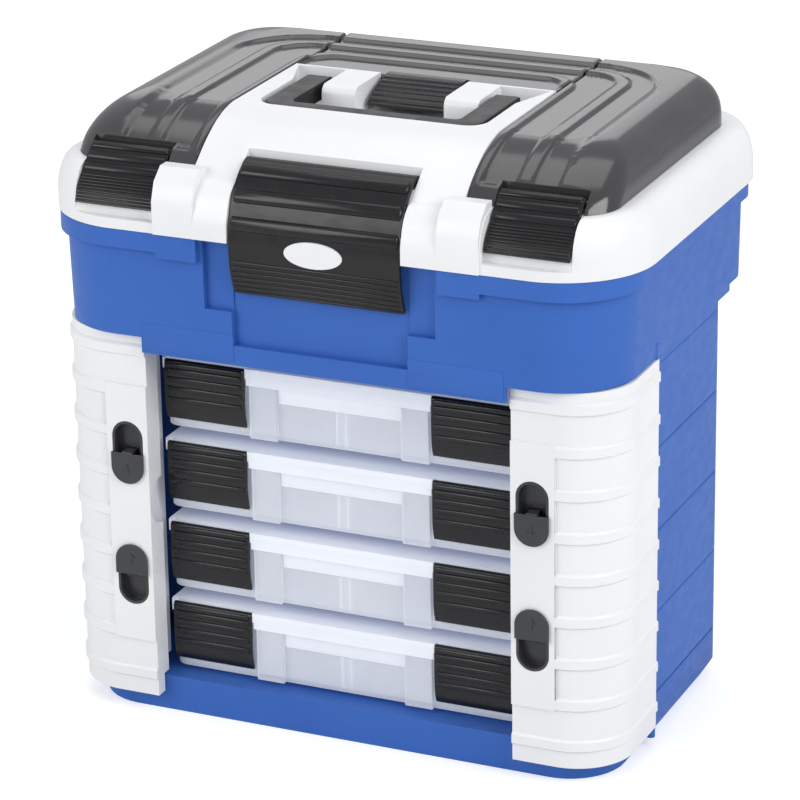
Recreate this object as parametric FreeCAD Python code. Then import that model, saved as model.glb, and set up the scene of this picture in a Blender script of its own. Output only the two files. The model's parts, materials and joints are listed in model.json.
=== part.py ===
import FreeCAD, Part
import math
import os
from FreeCAD import Vector

os.makedirs("parts", exist_ok=True)

# Fishing tackle cabinet: a stack of drawer frames holding flat lidded cases behind two corner
# doors, under a deep bin whose lid carries three see-through covers, a carrying handle and latches.
# Millimetres.  +X right, +Y to the back, +Z up; origin on the ground under the middle.

# ---- driving dimensions -------------------------------------------------------------------
running_gap = 0.3          # between faces that meet but must not stick
pin_play = 0.08            # radial play of a pin in its bore
wall = 2.6                 # moulded wall of bin, frames and lid

case_count = 4
case_width = 266.4
case_depth = 198.0
case_height = 50.4
case_wall = 1.8
case_corner = 10.0
case_lid_height = 7.0
shelf_thickness = 3.0
case_headroom = 6.3        # above a case, up to the next shelf
bay_side_gap = 1.2         # case side to bay wall
side_margin = 81.8         # case side to the side of the lid
front_margin = 37.4        # case front to the front of the lid
back_margin = 56.6         # case back to the back of the lid

plinth_height = 26.0
plinth_corner = 40.0
body_corner = 22.0
bin_overhang = 41.0        # bin behind the body
joint_drop = 9.7           # outer joint of a frame above its shelf's underside

door_corner = 43.0
door_skin = 2.6
door_depth = 83.7          # door's front to its hinge axis
door_return = 18.0         # depth of the inward flange along the gap
door_barrel_radius = 3.6
door_rib_height = 9.0
door_rib_rise = 1.8
door_rib_count = 9
pad_width = 31.5           # flat pad along the gap, which carries the buttons
button_shares = (0.3385, 0.678)     # of the door's height
notch_share = 0.5345
finger_notch = 17.0
button_width = 24.5
button_length = 46.0
button_travel = 6.0

bin_depth = 64.0           # floor to lip
bin_corner = 52.0
bin_back_corner = 26.0
lip_height = 13.0
lip_overhang = 4.5
bin_skirt_drop = 11.0      # front apron below the bin floor

lid_height = 70.7
lid_corner = 64.0
lid_back_corner = 40.0
lid_straight = 12.0
lid_deck_drop = 32.0       # deck under the covers, below the top
lid_deck_corner = 34.0
compartment_depth = 16.0
hump_half = 97.5           # middle of the lid, between the side covers

seam = 1.0                 # between a cover and its neighbour
cover_wall = 2.4
cover_foot_corner = 28.0

handle_half = 80.0
handle_setback = 90.0      # lid's front to the handle bar
handle_length = 77.5
handle_bar_depth = 13.0
handle_arm = 17.0
handle_thickness = 12.5
block_half = 58.0           # block between the arms of the handle
grip_depth = 40.0           # room for fingers between handle bar and block
block_crown = 5.5           # rounded front edge of that block
recess_depth_top = 24.0

front_latch_half = 61.8
cover_latch_half = 29.5
latch_thickness = 3.0

# ---- derived places -----------------------------------------------------------------------
lid_half = case_width / 2 + side_margin
lid_width = 2 * lid_half
lid_depth = case_depth + front_margin + back_margin
lid_front = -lid_depth / 2
lid_back = lid_depth / 2
case_front = lid_front + front_margin
bay_half = case_width / 2 + bay_side_gap
level_pitch = shelf_thickness + running_gap + case_height + case_headroom + running_gap
body_half = lid_half - 11.5
door_half = lid_half - 7.0
plinth_half = lid_half - 19.0
bin_width_bottom = lid_width - 20.0
bin_width_top = lid_width - 17.0
bin_front_bottom = lid_front + 7.5
bin_front_top = lid_front + 6.0
bin_back = lid_back - 10.0
body_back = bin_back - bin_overhang
door_front = lid_front + 11.8
plinth_front = door_front + 12.2
door_inner_edge = case_width / 2 + 0.8
door_hinge_y = door_front + door_depth
door_hinge_x = door_half - door_barrel_radius - 1.4
body_front = door_hinge_y + door_half - door_hinge_x + 2 * running_gap
bay_wall_front = case_front + 6.0
shelf_front = case_front + 12.0
frame_wall_front = case_front + 48.0
pad_outer = door_inner_edge + pad_width
button_x = door_inner_edge + pad_width / 2 - 0.25

shelf_bottom_z = plinth_height + running_gap
case_bottom_z = shelf_bottom_z + shelf_thickness + running_gap
outer_joint_z = shelf_bottom_z + joint_drop
stack_top_z = shelf_bottom_z + case_count * level_pitch
stack_outer_top_z = outer_joint_z + case_count * level_pitch
bin_floor_z = stack_outer_top_z + 6.8
door_bottom = plinth_height - 12.0
door_top = bin_floor_z - 0.6
door_rib_first = door_bottom + 11.8
button_heights = [door_bottom + share * (door_top - door_bottom) for share in button_shares]
notch_z = door_bottom + notch_share * (door_top - door_bottom)
bin_wall_top = bin_floor_z + bin_depth
lip_top_z = bin_wall_top + lip_height
lid_bottom_z = lip_top_z + running_gap
lid_top_z = lid_bottom_z + lid_height
lid_deck_z = lid_top_z - lid_deck_drop
lid_deck_width = lid_width - 32.0
lid_deck_front = lid_front + 23.0
pocket_floor_z = lid_deck_z - compartment_depth
recess_floor_z = lid_top_z - recess_depth_top
cover_half = lid_half - 20.0
cover_front = lid_front + 26.0
cover_back = lid_back - 15.0
side_cover_inner = hump_half + seam
cover_latch_x = (side_cover_inner + cover_half) / 2 + 1.75
boss_inner = hump_half - 9.5
boss_outer = cover_latch_x - cover_latch_half - 1.5
lip_gap_half = boss_inner - 1.0
handle_front = lid_front + handle_setback
handle_rear = handle_front + handle_length
handle_axis_y = handle_rear - 7.5
handle_axis_z = lid_top_z - 7.5
hump_back = handle_rear + 19.4
case_latch_outer = case_width / 2 - 3.7
case_latch_inner = case_latch_outer - 60.2


def block(x0, x1, y0, y1, z0, z1):
    return Part.makeBox(x1 - x0, y1 - y0, z1 - z0, Vector(x0, y0, z0))


def corner_points(x, y, radius, start):
    """Start, middle and end of a corner arc whose centre is (x, y)."""
    angles = (start, start + 45, start + 90)
    return [(x + radius * math.cos(math.radians(a)), y + radius * math.sin(math.radians(a)))
            for a in angles]


def rounded_outline(x0, x1, y0, y1, radii, z):
    """Closed wire; radii run front left, front right, back right, back left."""
    fl, fr, br, bl = [max(r, 0.01) for r in radii]
    corners = [corner_points(x0 + fl, y0 + fl, fl, 180), corner_points(x1 - fr, y0 + fr, fr, 270),
               corner_points(x1 - br, y1 - br, br, 0), corner_points(x0 + bl, y1 - bl, bl, 90)]
    edges = []
    for index, arc in enumerate(corners):
        start, middle, end = [Vector(px, py, z) for px, py in arc]
        edges.append(Part.Arc(start, middle, end).toShape())
        following = corners[(index + 1) % 4][0]
        edges.append(Part.LineSegment(end, Vector(following[0], following[1], z)).toShape())
    return Part.Wire(edges)


def rounded_prism(x0, x1, y0, y1, radii, z0, z1):
    face = Part.Face(rounded_outline(x0, x1, y0, y1, radii, z0))
    return face.extrude(Vector(0, 0, z1 - z0))


def profile_prism(points, x0, x1):
    """Prism along X of a closed polygon given as (y, z)."""
    wire = Part.makePolygon([Vector(x0, y, z) for y, z in points + points[:1]])
    return Part.Face(wire).extrude(Vector(x1 - x0, 0, 0))


def smooth_curve(points):
    curve = Part.BSplineCurve()
    curve.interpolate(points)
    return curve


def behind(outer, depth):
    """Points of a (y, z) profile moved back from its face by depth."""
    curve = smooth_curve([Vector(0, y, z) for y, z in outer])
    moved = []
    for y, z in outer:
        tangent = curve.tangent(curve.parameter(Vector(0, y, z)))[0]
        moved.append((y - tangent.z * depth, z + tangent.y * depth))
    return moved


def curved_plate(outer, thickness, x0, x1):
    """Plate along X whose section follows a smooth curve through (y, z) points."""
    front = smooth_curve([Vector(x0, y, z) for y, z in outer])
    back = smooth_curve([Vector(x0, y, z) for y, z in behind(outer, thickness)])
    first = Part.LineSegment(back.StartPoint, front.StartPoint).toShape()
    last = Part.LineSegment(front.EndPoint, back.EndPoint).toShape()
    wire = Part.Wire([first, front.toShape(), last, back.toShape()])
    return Part.Face(wire).extrude(Vector(x1 - x0, 0, 0))


def rod_x(x0, x1, y, z, radius):
    return Part.makeCylinder(radius, x1 - x0, Vector(x0, y, z), Vector(1, 0, 0))


def rod_z(x, y, z0, z1, radius):
    return Part.makeCylinder(radius, z1 - z0, Vector(x, y, z0), Vector(0, 0, 1))


def fused(first, *others):
    shape = first
    for other in others:
        shape = shape.fuse(other)
    return shape.removeSplitter()


def mirrored(shape):
    return shape.mirror(Vector(0, 0, 0), Vector(1, 0, 0))


def write(name, shape):
    if shape.ShapeType == "Compound" and len(shape.Solids) == 1:
        shape = shape.Solids[0]
    shape.exportStep("parts/" + name + ".step")
    print(name, len(shape.Solids), shape.isValid(), round(shape.Volume / 1000, 1))


def write_pair(name, shape):
    """Writes a right-hand piece and its mirror image."""
    write("right_" + name, shape)
    write("left_" + name, mirrored(shape))


# ---- base: plinth with rounded front corners under the doors, full width behind them -------
base_side_rise = 12.0
base_edge = 6.0


def make_base():
    half = plinth_half
    front = rounded_prism(-half, half, plinth_front, body_back - 1.0,
                          (plinth_corner, plinth_corner, body_corner, body_corner), 0, plinth_height)
    foot = rounded_outline(-half, half, body_front, body_back - base_edge,
                           (1, 1, body_corner - 4, body_corner - 4), 0)
    rise = rounded_outline(-body_half, body_half, body_front, body_back,
                           (1, 1, body_corner, body_corner), base_side_rise)
    flare = Part.makeLoft([foot, rise], True, True)
    deck = rounded_prism(-body_half, body_half, body_front, body_back,
                         (1, 1, body_corner, body_corner), base_side_rise, plinth_height)
    rim_top = outer_joint_z - running_gap
    rim = rounded_prism(-body_half, body_half, body_front, body_back,
                        (1, 1, body_corner, body_corner), plinth_height, rim_top)
    rim = rim.cut(rounded_prism(-body_half + wall, body_half - wall, body_front - 5, body_back - wall,
                                (1, 1, body_corner - wall, body_corner - wall),
                                plinth_height - 1, rim_top + 1))
    shape = fused(front, flare, deck, rim)
    inside = rounded_prism(-half + wall, half - wall, plinth_front + wall, body_back - base_edge - wall,
                           (plinth_corner - wall, plinth_corner - wall, body_corner - 4, body_corner - 4),
                           -1, plinth_height - wall)
    shape = shape.cut(inside)
    stiffeners = [block(x - 1.2, x + 1.2, plinth_front + 1, body_back - base_edge - 1, 1.0, plinth_height - 1)
                  for x in (-bay_half + 2, bay_half - 2)]
    shape = fused(shape, *stiffeners)
    for side in (-1, 1):
        lug = door_lug(side, plinth_height - 19.0, door_bottom - running_gap)
        shape = fused(shape, lug)
        shape = shape.cut(rod_z(side * door_hinge_x, door_hinge_y, plinth_height - 18.0, door_bottom + 1,
                                door_pin_radius + pin_play))
    return shape


# ---- door hinge: a lug of base and bin holds each end of the door's pin --------------------
door_pin_radius = 1.5


def door_lug(side, z0, z1):
    x = door_hinge_x * side
    inner = (body_half - 8.0) * side
    eye = rod_z(x, door_hinge_y, z0, z1, door_barrel_radius - 0.4)
    arm = block(min(inner, x), max(inner, x), door_hinge_y - 2.6, body_front + 3.0, z0, z1)
    return fused(eye, arm)


def make_door_pin(side):
    return rod_z(side * door_hinge_x, door_hinge_y, plinth_height - 17.5, bin_floor_z + 7.5, door_pin_radius)


# ---- drawer frame: outer side and back walls, bay walls, and the shelf a case slides on ----
groove_chamfer = 0.9


def make_frame(level):
    z_in = shelf_bottom_z + level * level_pitch
    z_out = outer_joint_z + level * level_pitch
    in_top = z_in + level_pitch - running_gap
    out_top = z_out + level_pitch - running_gap
    outer = rounded_prism(-body_half, body_half, body_front, body_back,
                          (1, 1, body_corner, body_corner), z_out, out_top)
    edges = [e for e in outer.Edges if abs(e.BoundBox.ZLength) < 0.01 and e.BoundBox.YMax > body_front + 1.5]
    outer = outer.makeChamfer(groove_chamfer, edges)
    hollow = rounded_prism(-body_half + wall, body_half - wall, body_front + wall, body_back - wall,
                           (1, 1, body_corner - wall, body_corner - wall), z_out - 1, out_top + 1)
    bay = block(-bay_half, bay_half, case_front - 30, body_back - wall, z_in - 1, out_top + 1)
    bay_wall = block(-bay_half - wall, bay_half + wall, frame_wall_front, body_back - wall - running_gap,
                     z_in, in_top)
    shelf = block(-bay_half - 0.5, bay_half + 0.5, shelf_front, body_back - wall - running_gap,
                  z_in, z_in + shelf_thickness)
    shape = fused(outer.cut(hollow), bay_wall.cut(bay), shelf)
    for side in (-1, 1):
        inner = side * (bay_half + wall / 2)
        web_end = side * (body_half - wall / 2)
        ribs = [block(min(inner, web_end), max(inner, web_end), y, y + wall, z_out, in_top)
                for y in (body_front, body_back - wall - body_corner)]
        shape = fused(shape, *ribs)
    mouth = bay_half + wall + running_gap
    opening = block(-bay_half, bay_half, body_front - 1, body_front + wall + 1, z_in + shelf_thickness, in_top)
    above = block(-mouth, mouth, body_front - 1, body_front + wall + 1, in_top, out_top + 1)
    return shape.cut(opening).cut(above)


# ---- bin ------------------------------------------------------------------------------------
latch_bay_half = 64.0
scoop_half = 84.0
scoop_bottom_z = 311.0
recess_depth = 4.5
overhang_rise = 5.0        # underside behind the body, above the bin's floor


def bin_outline(width, front, back, corner, back_corner, z):
    return rounded_outline(-width / 2, width / 2, front, back, (corner, corner, back_corner, back_corner), z)


def make_bin():
    shell = Part.makeLoft([
        bin_outline(bin_width_bottom, bin_front_bottom, bin_back, bin_corner, bin_back_corner, bin_floor_z),
        bin_outline(bin_width_top, bin_front_top, bin_back, bin_corner, bin_back_corner, lip_top_z)], True, True)
    lip = rounded_prism(-bin_width_top / 2 - lip_overhang, bin_width_top / 2 + lip_overhang,
                        bin_front_top - lip_overhang + 0.5, bin_back + 3.4,
                        (bin_corner + 4, bin_corner + 4, bin_back_corner + 3, bin_back_corner + 3),
                        bin_wall_top, lip_top_z)
    lip = lip.cut(block(-lip_gap_half, lip_gap_half, bin_front_top - 20, bin_front_top + 40,
                        bin_wall_top - 1, lip_top_z + 1))
    lugs = [block(min(a, b), max(a, b), bin_front_top - lip_overhang + 0.5, bin_front_top + 6,
                  bin_wall_top - 4.0, bin_wall_top + 1)
            for a, b in ((-boss_outer + 0.5, -lip_gap_half), (lip_gap_half, boss_outer - 0.5))]
    skirt_front = block(-door_inner_edge + 1.0, door_inner_edge - 1.0, bin_front_bottom, bin_front_bottom + wall,
                        bin_floor_z - bin_skirt_drop, bin_floor_z + 1)
    skirt = rounded_prism(-body_half, body_half, body_front, body_back,
                          (1, 1, body_corner, body_corner), stack_outer_top_z, bin_floor_z + 1)
    skirt_in = rounded_prism(-body_half + wall, body_half - wall, body_front + wall, body_back - wall,
                             (1, 1, body_corner - wall, body_corner - wall), stack_outer_top_z - 1, bin_floor_z)
    rails = [block(min(a, b), max(a, b), bay_wall_front, body_back - wall - 0.5, stack_top_z, bin_floor_z + 1)
             for a, b in ((-bay_half - wall, -bay_half), (bay_half, bay_half + wall))]
    skirt_ring = skirt.cut(skirt_in).cut(block(-bay_half, bay_half, body_front - 1, body_front + wall + 1,
                                               stack_outer_top_z - 1, bin_floor_z))
    lugs += [door_lug(side, door_top + running_gap, bin_floor_z + 1) for side in (-1, 1)]
    lugs += [rod_z(side * door_hinge_x, door_hinge_y, door_top + running_gap, bin_floor_z + 10.0,
                   door_barrel_radius - 0.6) for side in (-1, 1)]
    shape = fused(shell, lip, *lugs)
    shape = fused(shape, skirt_front, skirt_ring, *rails)
    inside = Part.makeLoft([
        bin_outline(bin_width_bottom - 2 * wall, bin_front_bottom + wall, bin_back - wall,
                    bin_corner - wall, bin_back_corner - wall, bin_floor_z + wall),
        bin_outline(bin_width_top - 2 * wall, bin_front_top + wall, bin_back - wall,
                    bin_corner - wall, bin_back_corner - wall, lip_top_z + 1)], True, True)
    behind_body = block(-bin_width_top, bin_width_top, body_back + 1.0, bin_back + 10,
                        bin_floor_z - 20, bin_floor_z + overhang_rise)
    raised = behind_body.translated(Vector(0, 0, wall))
    recess_back = bin_front_bottom + recess_depth
    inside = inside.cut(block(-scoop_half - wall, scoop_half + wall, bin_front_top - 10, recess_back + wall,
                              bin_floor_z, lip_top_z + 5))
    for side in (-1, 1):
        boss = rod_z(side * door_hinge_x, door_hinge_y, bin_floor_z, bin_floor_z + 10.0, door_barrel_radius + 2.4)
        inside = inside.cut(boss)
    shape = shape.cut(inside.cut(raised)).cut(behind_body)
    shape = shape.cut(block(-latch_bay_half, latch_bay_half, bin_front_top - 10, recess_back,
                            bin_floor_z - bin_skirt_drop + 14, lip_top_z + 5))
    shape = shape.cut(block(-scoop_half, scoop_half, bin_front_top - 10, recess_back - 1.0,
                            scoop_bottom_z, lip_top_z + 5))
    for side in (-1, 1):
        shape = shape.cut(rod_z(side * door_hinge_x, door_hinge_y, door_top, bin_floor_z + 8.0,
                                door_pin_radius + pin_play))
    for x in lid_hinge_places:
        for x0, x1 in ((x - 24, x - 12.3), (x + 12.3, x + 24)):
            lug = fused(rod_x(x0, x1, lid_axis_y, lid_axis_z, lid_knuckle_radius),
                        block(x0, x1, bin_back - 1.0, lid_axis_y, lid_axis_z - lid_knuckle_radius,
                              lid_axis_z + lid_knuckle_radius - 0.2))
            shape = fused(shape, lug)
        shape = shape.cut(rod_x(x - 25, x + 25, lid_axis_y, lid_axis_z, lid_pin_radius + pin_play))
    return shape


# ---- lid hinge --------------------------------------------------------------------------------
lid_knuckle_radius = 3.0
lid_pin_radius = 1.5
lid_axis_y = lid_back - lid_knuckle_radius
lid_axis_z = lid_bottom_z - 4.0
lid_hinge_places = (-(lid_half - 95.0), lid_half - 95.0)


def make_lid_pins():
    return Part.makeCompound([rod_x(x - 24, x + 24, lid_axis_y, lid_axis_z, lid_pin_radius)
                              for x in lid_hinge_places])


# ---- lid ----------------------------------------------------------------------------------------
cover_axis_y = cover_back + 3.6
cover_axis_z = lid_deck_z + 4.6
cover_knuckle_radius = 2.8
cover_pin_radius = 1.3
front_latch_axis = (lid_front + 34.0, lid_top_z - 23.5)
front_latch_barrel = 3.6
cover_latch_axis = (lid_front + 37.0, lid_top_z - 25.7)
cover_latch_barrel = 3.2
latch_pin_radius = 1.4
rim_inset = 1.5
pocket_gap = 0.8
shoulder_steps = 7
# sweep of the middle: distance behind the lid's front, share of the lid's height
hump_sweep = ((0.0, 0.123), (1.6, 0.243), (5.4, 0.349), (11.0, 0.434), (24.8, 0.576), (38.5, 0.727),
              (51.4, 0.844), (62.5, 0.922), (74.0, 0.973), (86.0, 1.0))
hump_profile = [(lid_front + back, lid_bottom_z + share * lid_height) for back, share in hump_sweep]
# height of the hood above the hump's profile, from its fourth point on
hood_rises = (0.0, 2.6, 3.0, 2.4, 1.6, 0.7, 0.0)
hood_half = 67.0
hood_foot_half = 79.0
# outer faces of the latches from hinge to tip: distance behind the lid's front, drop from its top
front_latch_sweep = ((36.4, 20.8), (32.0, 19.9), (23.5, 23.8), (11.8, 34.8), (4.0, 52.0), (0.6, 71.5),
                     (1.8, 88.0), (7.8, 107.0))
cover_latch_sweep = ((38.8, 23.2), (35.0, 22.4), (28.2, 26.5), (17.5, 38.0), (8.8, 48.0), (5.0, 56.5))
front_latch_profile = [(lid_front + back, lid_top_z - drop) for back, drop in front_latch_sweep]
cover_latch_profile = [(lid_front + back, lid_top_z - drop) for back, drop in cover_latch_sweep]


def lid_outline(width, front, back, corner, back_corner, z):
    return rounded_outline(-width / 2, width / 2, front, back, (corner, corner, back_corner, back_corner), z)


def cover_hinge_sets():
    """Middle x and half length of each cover's pin: two side covers and the rear one."""
    side_mid = (side_cover_inner + cover_half) / 2
    return ((-side_mid, 34.0), (0.0, 70.0), (side_mid, 34.0))


def make_lid_shell():
    """Solid lid outside the middle: straight rim, then a quarter round up to the deck edge."""
    sections = [lid_outline(lid_width, lid_front + rim_inset, lid_back, lid_corner, lid_back_corner, lid_bottom_z)]
    rise = lid_deck_z - lid_bottom_z - lid_straight
    for step in range(shoulder_steps + 1):
        angle = math.pi / 2 * step / shoulder_steps
        inward = 1 - math.cos(angle)
        up = math.sin(angle)
        half_step = (lid_width - lid_deck_width) / 2 * inward
        front = lid_front + rim_inset + (lid_deck_front - lid_front - rim_inset) * inward
        corner = lid_corner + (lid_deck_corner - lid_corner) * inward
        back_corner = lid_back_corner + (lid_deck_corner - lid_back_corner) * inward
        sections.append(lid_outline(lid_width - 2 * half_step, front, lid_back - 2.5 * inward, corner,
                                    back_corner, lid_bottom_z + lid_straight + rise * up))
    return Part.makeLoft(sections, True, True)


def make_hump():
    """Middle of the lid: its front rises in one sweep to the flat top under the handle."""
    sweep = smooth_curve([Vector(-hump_half, y, z) for y, z in hump_profile])
    corners = [(lid_front, lid_bottom_z), hump_profile[0]]
    edges = [Part.LineSegment(Vector(-hump_half, *corners[0]), Vector(-hump_half, *corners[1])).toShape(),
             sweep.toShape()]
    rest = [hump_profile[-1], (hump_back, lid_top_z), (hump_back, lid_deck_z - 10), (lid_front + 46, lid_deck_z - 10),
            (lid_front + 26, lid_bottom_z), corners[0]]
    for start, end in zip(rest, rest[1:]):
        edges.append(Part.LineSegment(Vector(-hump_half, *start), Vector(-hump_half, *end)).toShape())
    return Part.Face(Part.Wire(edges)).extrude(Vector(2 * hump_half, 0, 0))


def make_hood():
    """Low raised field on the hump's slope that covers the ends of the front latch's pin."""
    sections = []
    for (y, z), rise in zip(hump_profile[3:], hood_rises):
        side_z = z - 0.3
        points = [(-hood_foot_half, side_z), (-hood_half, z + rise), (hood_half, z + rise),
                  (hood_foot_half, side_z), (hood_foot_half, z - 8.0), (-hood_foot_half, z - 8.0)]
        sections.append(Part.makePolygon([Vector(x, y, level) for x, level in points + points[:1]]))
    return Part.makeLoft(sections, True, True)


def make_lid():
    half = lid_width / 2
    shell = make_lid_shell()
    hump = fused(make_hump(), make_hood())
    bosses = [profile_prism([(lid_front, lid_bottom_z), (lid_front, lid_top_z - 48), (lid_front + 5, lid_top_z - 35),
                             (lid_front + 15, lid_top_z - 27), (lid_front + 24, lid_top_z - 27),
                             (lid_front + 24, lid_bottom_z)], *sorted((side * boss_inner, side * boss_outer)))
              for side in (-1, 1)]
    shape = fused(shell, hump)
    cavity = rounded_prism(-half + 6.5, half - 6.5, lid_front + 8, lid_back - 5,
                           (lid_corner - 7, lid_corner - 7, lid_back_corner - 6, lid_back_corner - 6),
                           lid_bottom_z - 1, pocket_floor_z - wall)
    for x in (-cover_latch_x, 0, cover_latch_x):
        reach = front_latch_half if x == 0 else cover_latch_half
        cavity = cavity.cut(block(x - reach - 4, x + reach + 4, lid_front, lid_front + 18,
                                  lid_bottom_z - 2, pocket_floor_z))
    shape = shape.cut(cavity)
    shape = shape.cut(block(-hump_half + wall, hump_half - wall, lid_front + 54, hump_back - wall,
                            pocket_floor_z - wall - 1, recess_floor_z - wall))
    for side in (-1, 1):
        a, b = side * (side_cover_inner + 4), side * (cover_half - 6)
        radii = (12, 24, 30, 12) if side > 0 else (24, 12, 12, 30)
        shape = shape.cut(rounded_prism(min(a, b), max(a, b), cover_front + 17, cover_back - 7, radii,
                                        pocket_floor_z, lid_deck_z + 1))
    shape = shape.cut(rounded_prism(-hump_half + 4, hump_half - 4, hump_back + 5, cover_back - 7,
                                    (8, 8, 8, 8), pocket_floor_z, lid_deck_z + 1))
    for boss in bosses:
        reach = boss_outer + 5
        hollow = block(-reach, reach, lid_front + 18, lid_front + 46, lid_bottom_z - 1, lid_deck_z - 2)
        shape = fused(shape, boss.cut(hollow))
    shape = shape.cut(make_handle_recess())
    for side in (-1, 1):
        ends = sorted((side * (block_half - 5), side * (handle_pin_end + 0.5)))
        shape = shape.cut(rod_x(*ends, handle_axis_y, handle_axis_z, handle_pin_radius + pin_play))
    pocket = behind(front_latch_profile[2:6], latch_thickness + pocket_gap)
    above = lid_top_z - 2
    outside = lid_front - 14
    behind_barrel = front_latch_axis[0] + front_latch_barrel
    pocket = ([(behind_barrel + 2.6, above), (behind_barrel + 0.8, front_latch_axis[1] - 4.1)] + pocket
              + [(lid_front + 7, lid_bottom_z - 20), (outside, lid_bottom_z - 20), (outside, above)])
    shape = shape.cut(profile_prism(pocket, -front_latch_half - 1, front_latch_half + 1))
    shape = shape.cut(rod_x(-front_latch_half - 7, front_latch_half + 7, front_latch_axis[0],
                            front_latch_axis[1], latch_pin_radius + pin_play))
    for x in (-cover_latch_x, cover_latch_x):
        pocket = behind(cover_latch_profile[2:], latch_thickness + pocket_gap)
        floor = lid_deck_z - 0.1
        ledge = lid_bottom_z + 7.2
        pocket = ([(lid_front + 46, above), (lid_front + 46, floor), (lid_front + 29.5, floor)] + pocket
                  + [(lid_front + 8, ledge), (outside, ledge), (outside, above)])
        shape = shape.cut(profile_prism(pocket, x - cover_latch_half - 1, x + cover_latch_half + 1))
    for x, reach in cover_hinge_sets():
        for middle in (x - reach + 8, x + reach - 8):
            shape = fused(shape, cover_lug(middle - 6, middle + 6, lid_deck_z - 1))
        shape = shape.cut(rod_x(x - reach - 2, x + reach + 2, cover_axis_y, cover_axis_z,
                                cover_pin_radius + pin_play))
    for x in lid_hinge_places:
        lug = fused(rod_x(x - 12, x + 12, lid_axis_y, lid_axis_z, lid_knuckle_radius),
                    block(x - 12, x + 12, lid_axis_y - lid_knuckle_radius + 0.2, lid_back, lid_axis_z,
                          lid_bottom_z + 3))
        shape = fused(shape, lug)
        shape = shape.cut(rod_x(x - 25, x + 25, lid_axis_y, lid_axis_z, lid_pin_radius + pin_play))
    return shape


def cover_lug(x0, x1, foot_z):
    eye = rod_x(x0, x1, cover_axis_y, cover_axis_z, cover_knuckle_radius)
    post = block(x0, x1, cover_axis_y - cover_knuckle_radius, cover_axis_y + cover_knuckle_radius,
                 foot_z, cover_axis_z)
    return fused(eye, post)


# ---- handle -------------------------------------------------------------------------------------
handle_pin_radius = 2.4
handle_pin_end = hump_half - 6.0
recess_gap = 1.2


def make_handle_recess():
    """Space cut into the lid around the folded handle and under the rear latch."""
    arm_out = handle_half + 3.0
    well = rounded_prism(-arm_out, arm_out, handle_front - recess_gap, hump_back - wall, (14, 14, 2, 2),
                         recess_floor_z, lid_top_z + 5)
    wing_front = handle_rear - 21.5
    wing_half = hump_half - 3
    corners = [(-wing_half, hump_back - wall), (-arm_out + 1, wing_front), (arm_out - 1, wing_front),
               (wing_half, hump_back - wall)]
    floor = recess_floor_z + 4
    outline = Part.makePolygon([Vector(x, y, floor) for x, y in corners + corners[:1]])
    wing = Part.Face(outline).extrude(Vector(0, 0, lid_top_z + 5 - floor))
    front = handle_front + handle_bar_depth + grip_depth
    middle = profile_prism([(front, recess_floor_z - 2), (front, lid_top_z - block_crown),
                            (front + 0.22 * block_crown, lid_top_z - 0.45 * block_crown),
                            (front + 0.8 * block_crown, lid_top_z), (front + 2 * block_crown, lid_top_z + 2),
                            (hump_back, lid_top_z + 2), (hump_back, recess_floor_z - 2)],
                           -block_half, block_half)
    finger = block(-cover_latch_half - 3.5, cover_latch_half + 3.5, handle_front + handle_bar_depth + 1,
                   hump_back + 1, recess_floor_z + 3, lid_top_z + 6)
    return fused(well, wing).cut(middle).fuse(finger)


def make_handle():
    top = lid_top_z - 0.6
    bottom = top - handle_thickness
    outer = rounded_prism(-handle_half, handle_half, handle_front, handle_rear, (13, 13, 3, 3), bottom, top)
    inner_half = handle_half - handle_arm - 2.0
    inner = rounded_prism(-inner_half, inner_half, handle_front + handle_bar_depth, handle_rear + 5,
                          (4, 4, 1, 1), bottom - 1, top + 1)
    shape = outer.cut(inner)
    edges = [e for e in shape.Edges if abs(e.BoundBox.ZLength) < 0.01]
    shape = shape.makeFillet(1.6, edges)
    shape = shape.cut(rod_x(-handle_half - 1, handle_half + 1, handle_axis_y, handle_axis_z,
                            handle_pin_radius + pin_play))
    return shape


def make_handle_pins():
    return Part.makeCompound([rod_x(min(a, b), max(a, b), handle_axis_y, handle_axis_z, handle_pin_radius)
                              for a, b in ((-handle_pin_end, -block_half + 4), (block_half - 4, handle_pin_end))])


# ---- covers ---------------------------------------------------------------------------------------
cover_rear_corner = 34.0
# share of the cover's height, share of the shoulder's width left, distance behind the front, corner
cover_sections = ((0.0, 1.0, 0.0, cover_foot_corner), (0.25, 0.989, 6.0, 28.5), (0.4375, 0.954, 13.5, 29.0),
                  (0.594, 0.892, 21.2, 29.0), (0.734, 0.796, 30.0, 28.0), (0.844, 0.673, 39.0, 27.0),
                  (0.922, 0.529, 47.5, 25.0), (0.975, 0.347, 55.5, 23.0), (1.0, 0.0, 64.0, 20.0))
cover_shoulder = 40.0


def cover_body(inset):
    """Right side cover as a solid dome, shrunk by inset on every wall and the top."""
    sections = []
    for flat, share, back_step, corner in cover_sections:
        aside = inset * (1.0 - 0.7 * flat)
        drop = inset * flat
        if flat == 0.0:
            drop = 1.0 if inset else -running_gap
        front = cover_front + back_step
        rise = flat * lid_deck_drop
        outer = cover_half - cover_shoulder * (1.0 - share)
        back = cover_back - inset - 4.0 * flat ** 4
        sections.append(rounded_outline(side_cover_inner + inset, outer - aside, front + aside, back,
                                        (2, corner - aside, cover_rear_corner - 14 * flat ** 2 - aside, 2),
                                        lid_deck_z + rise - drop))
    return Part.makeLoft(sections, True, True)


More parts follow.
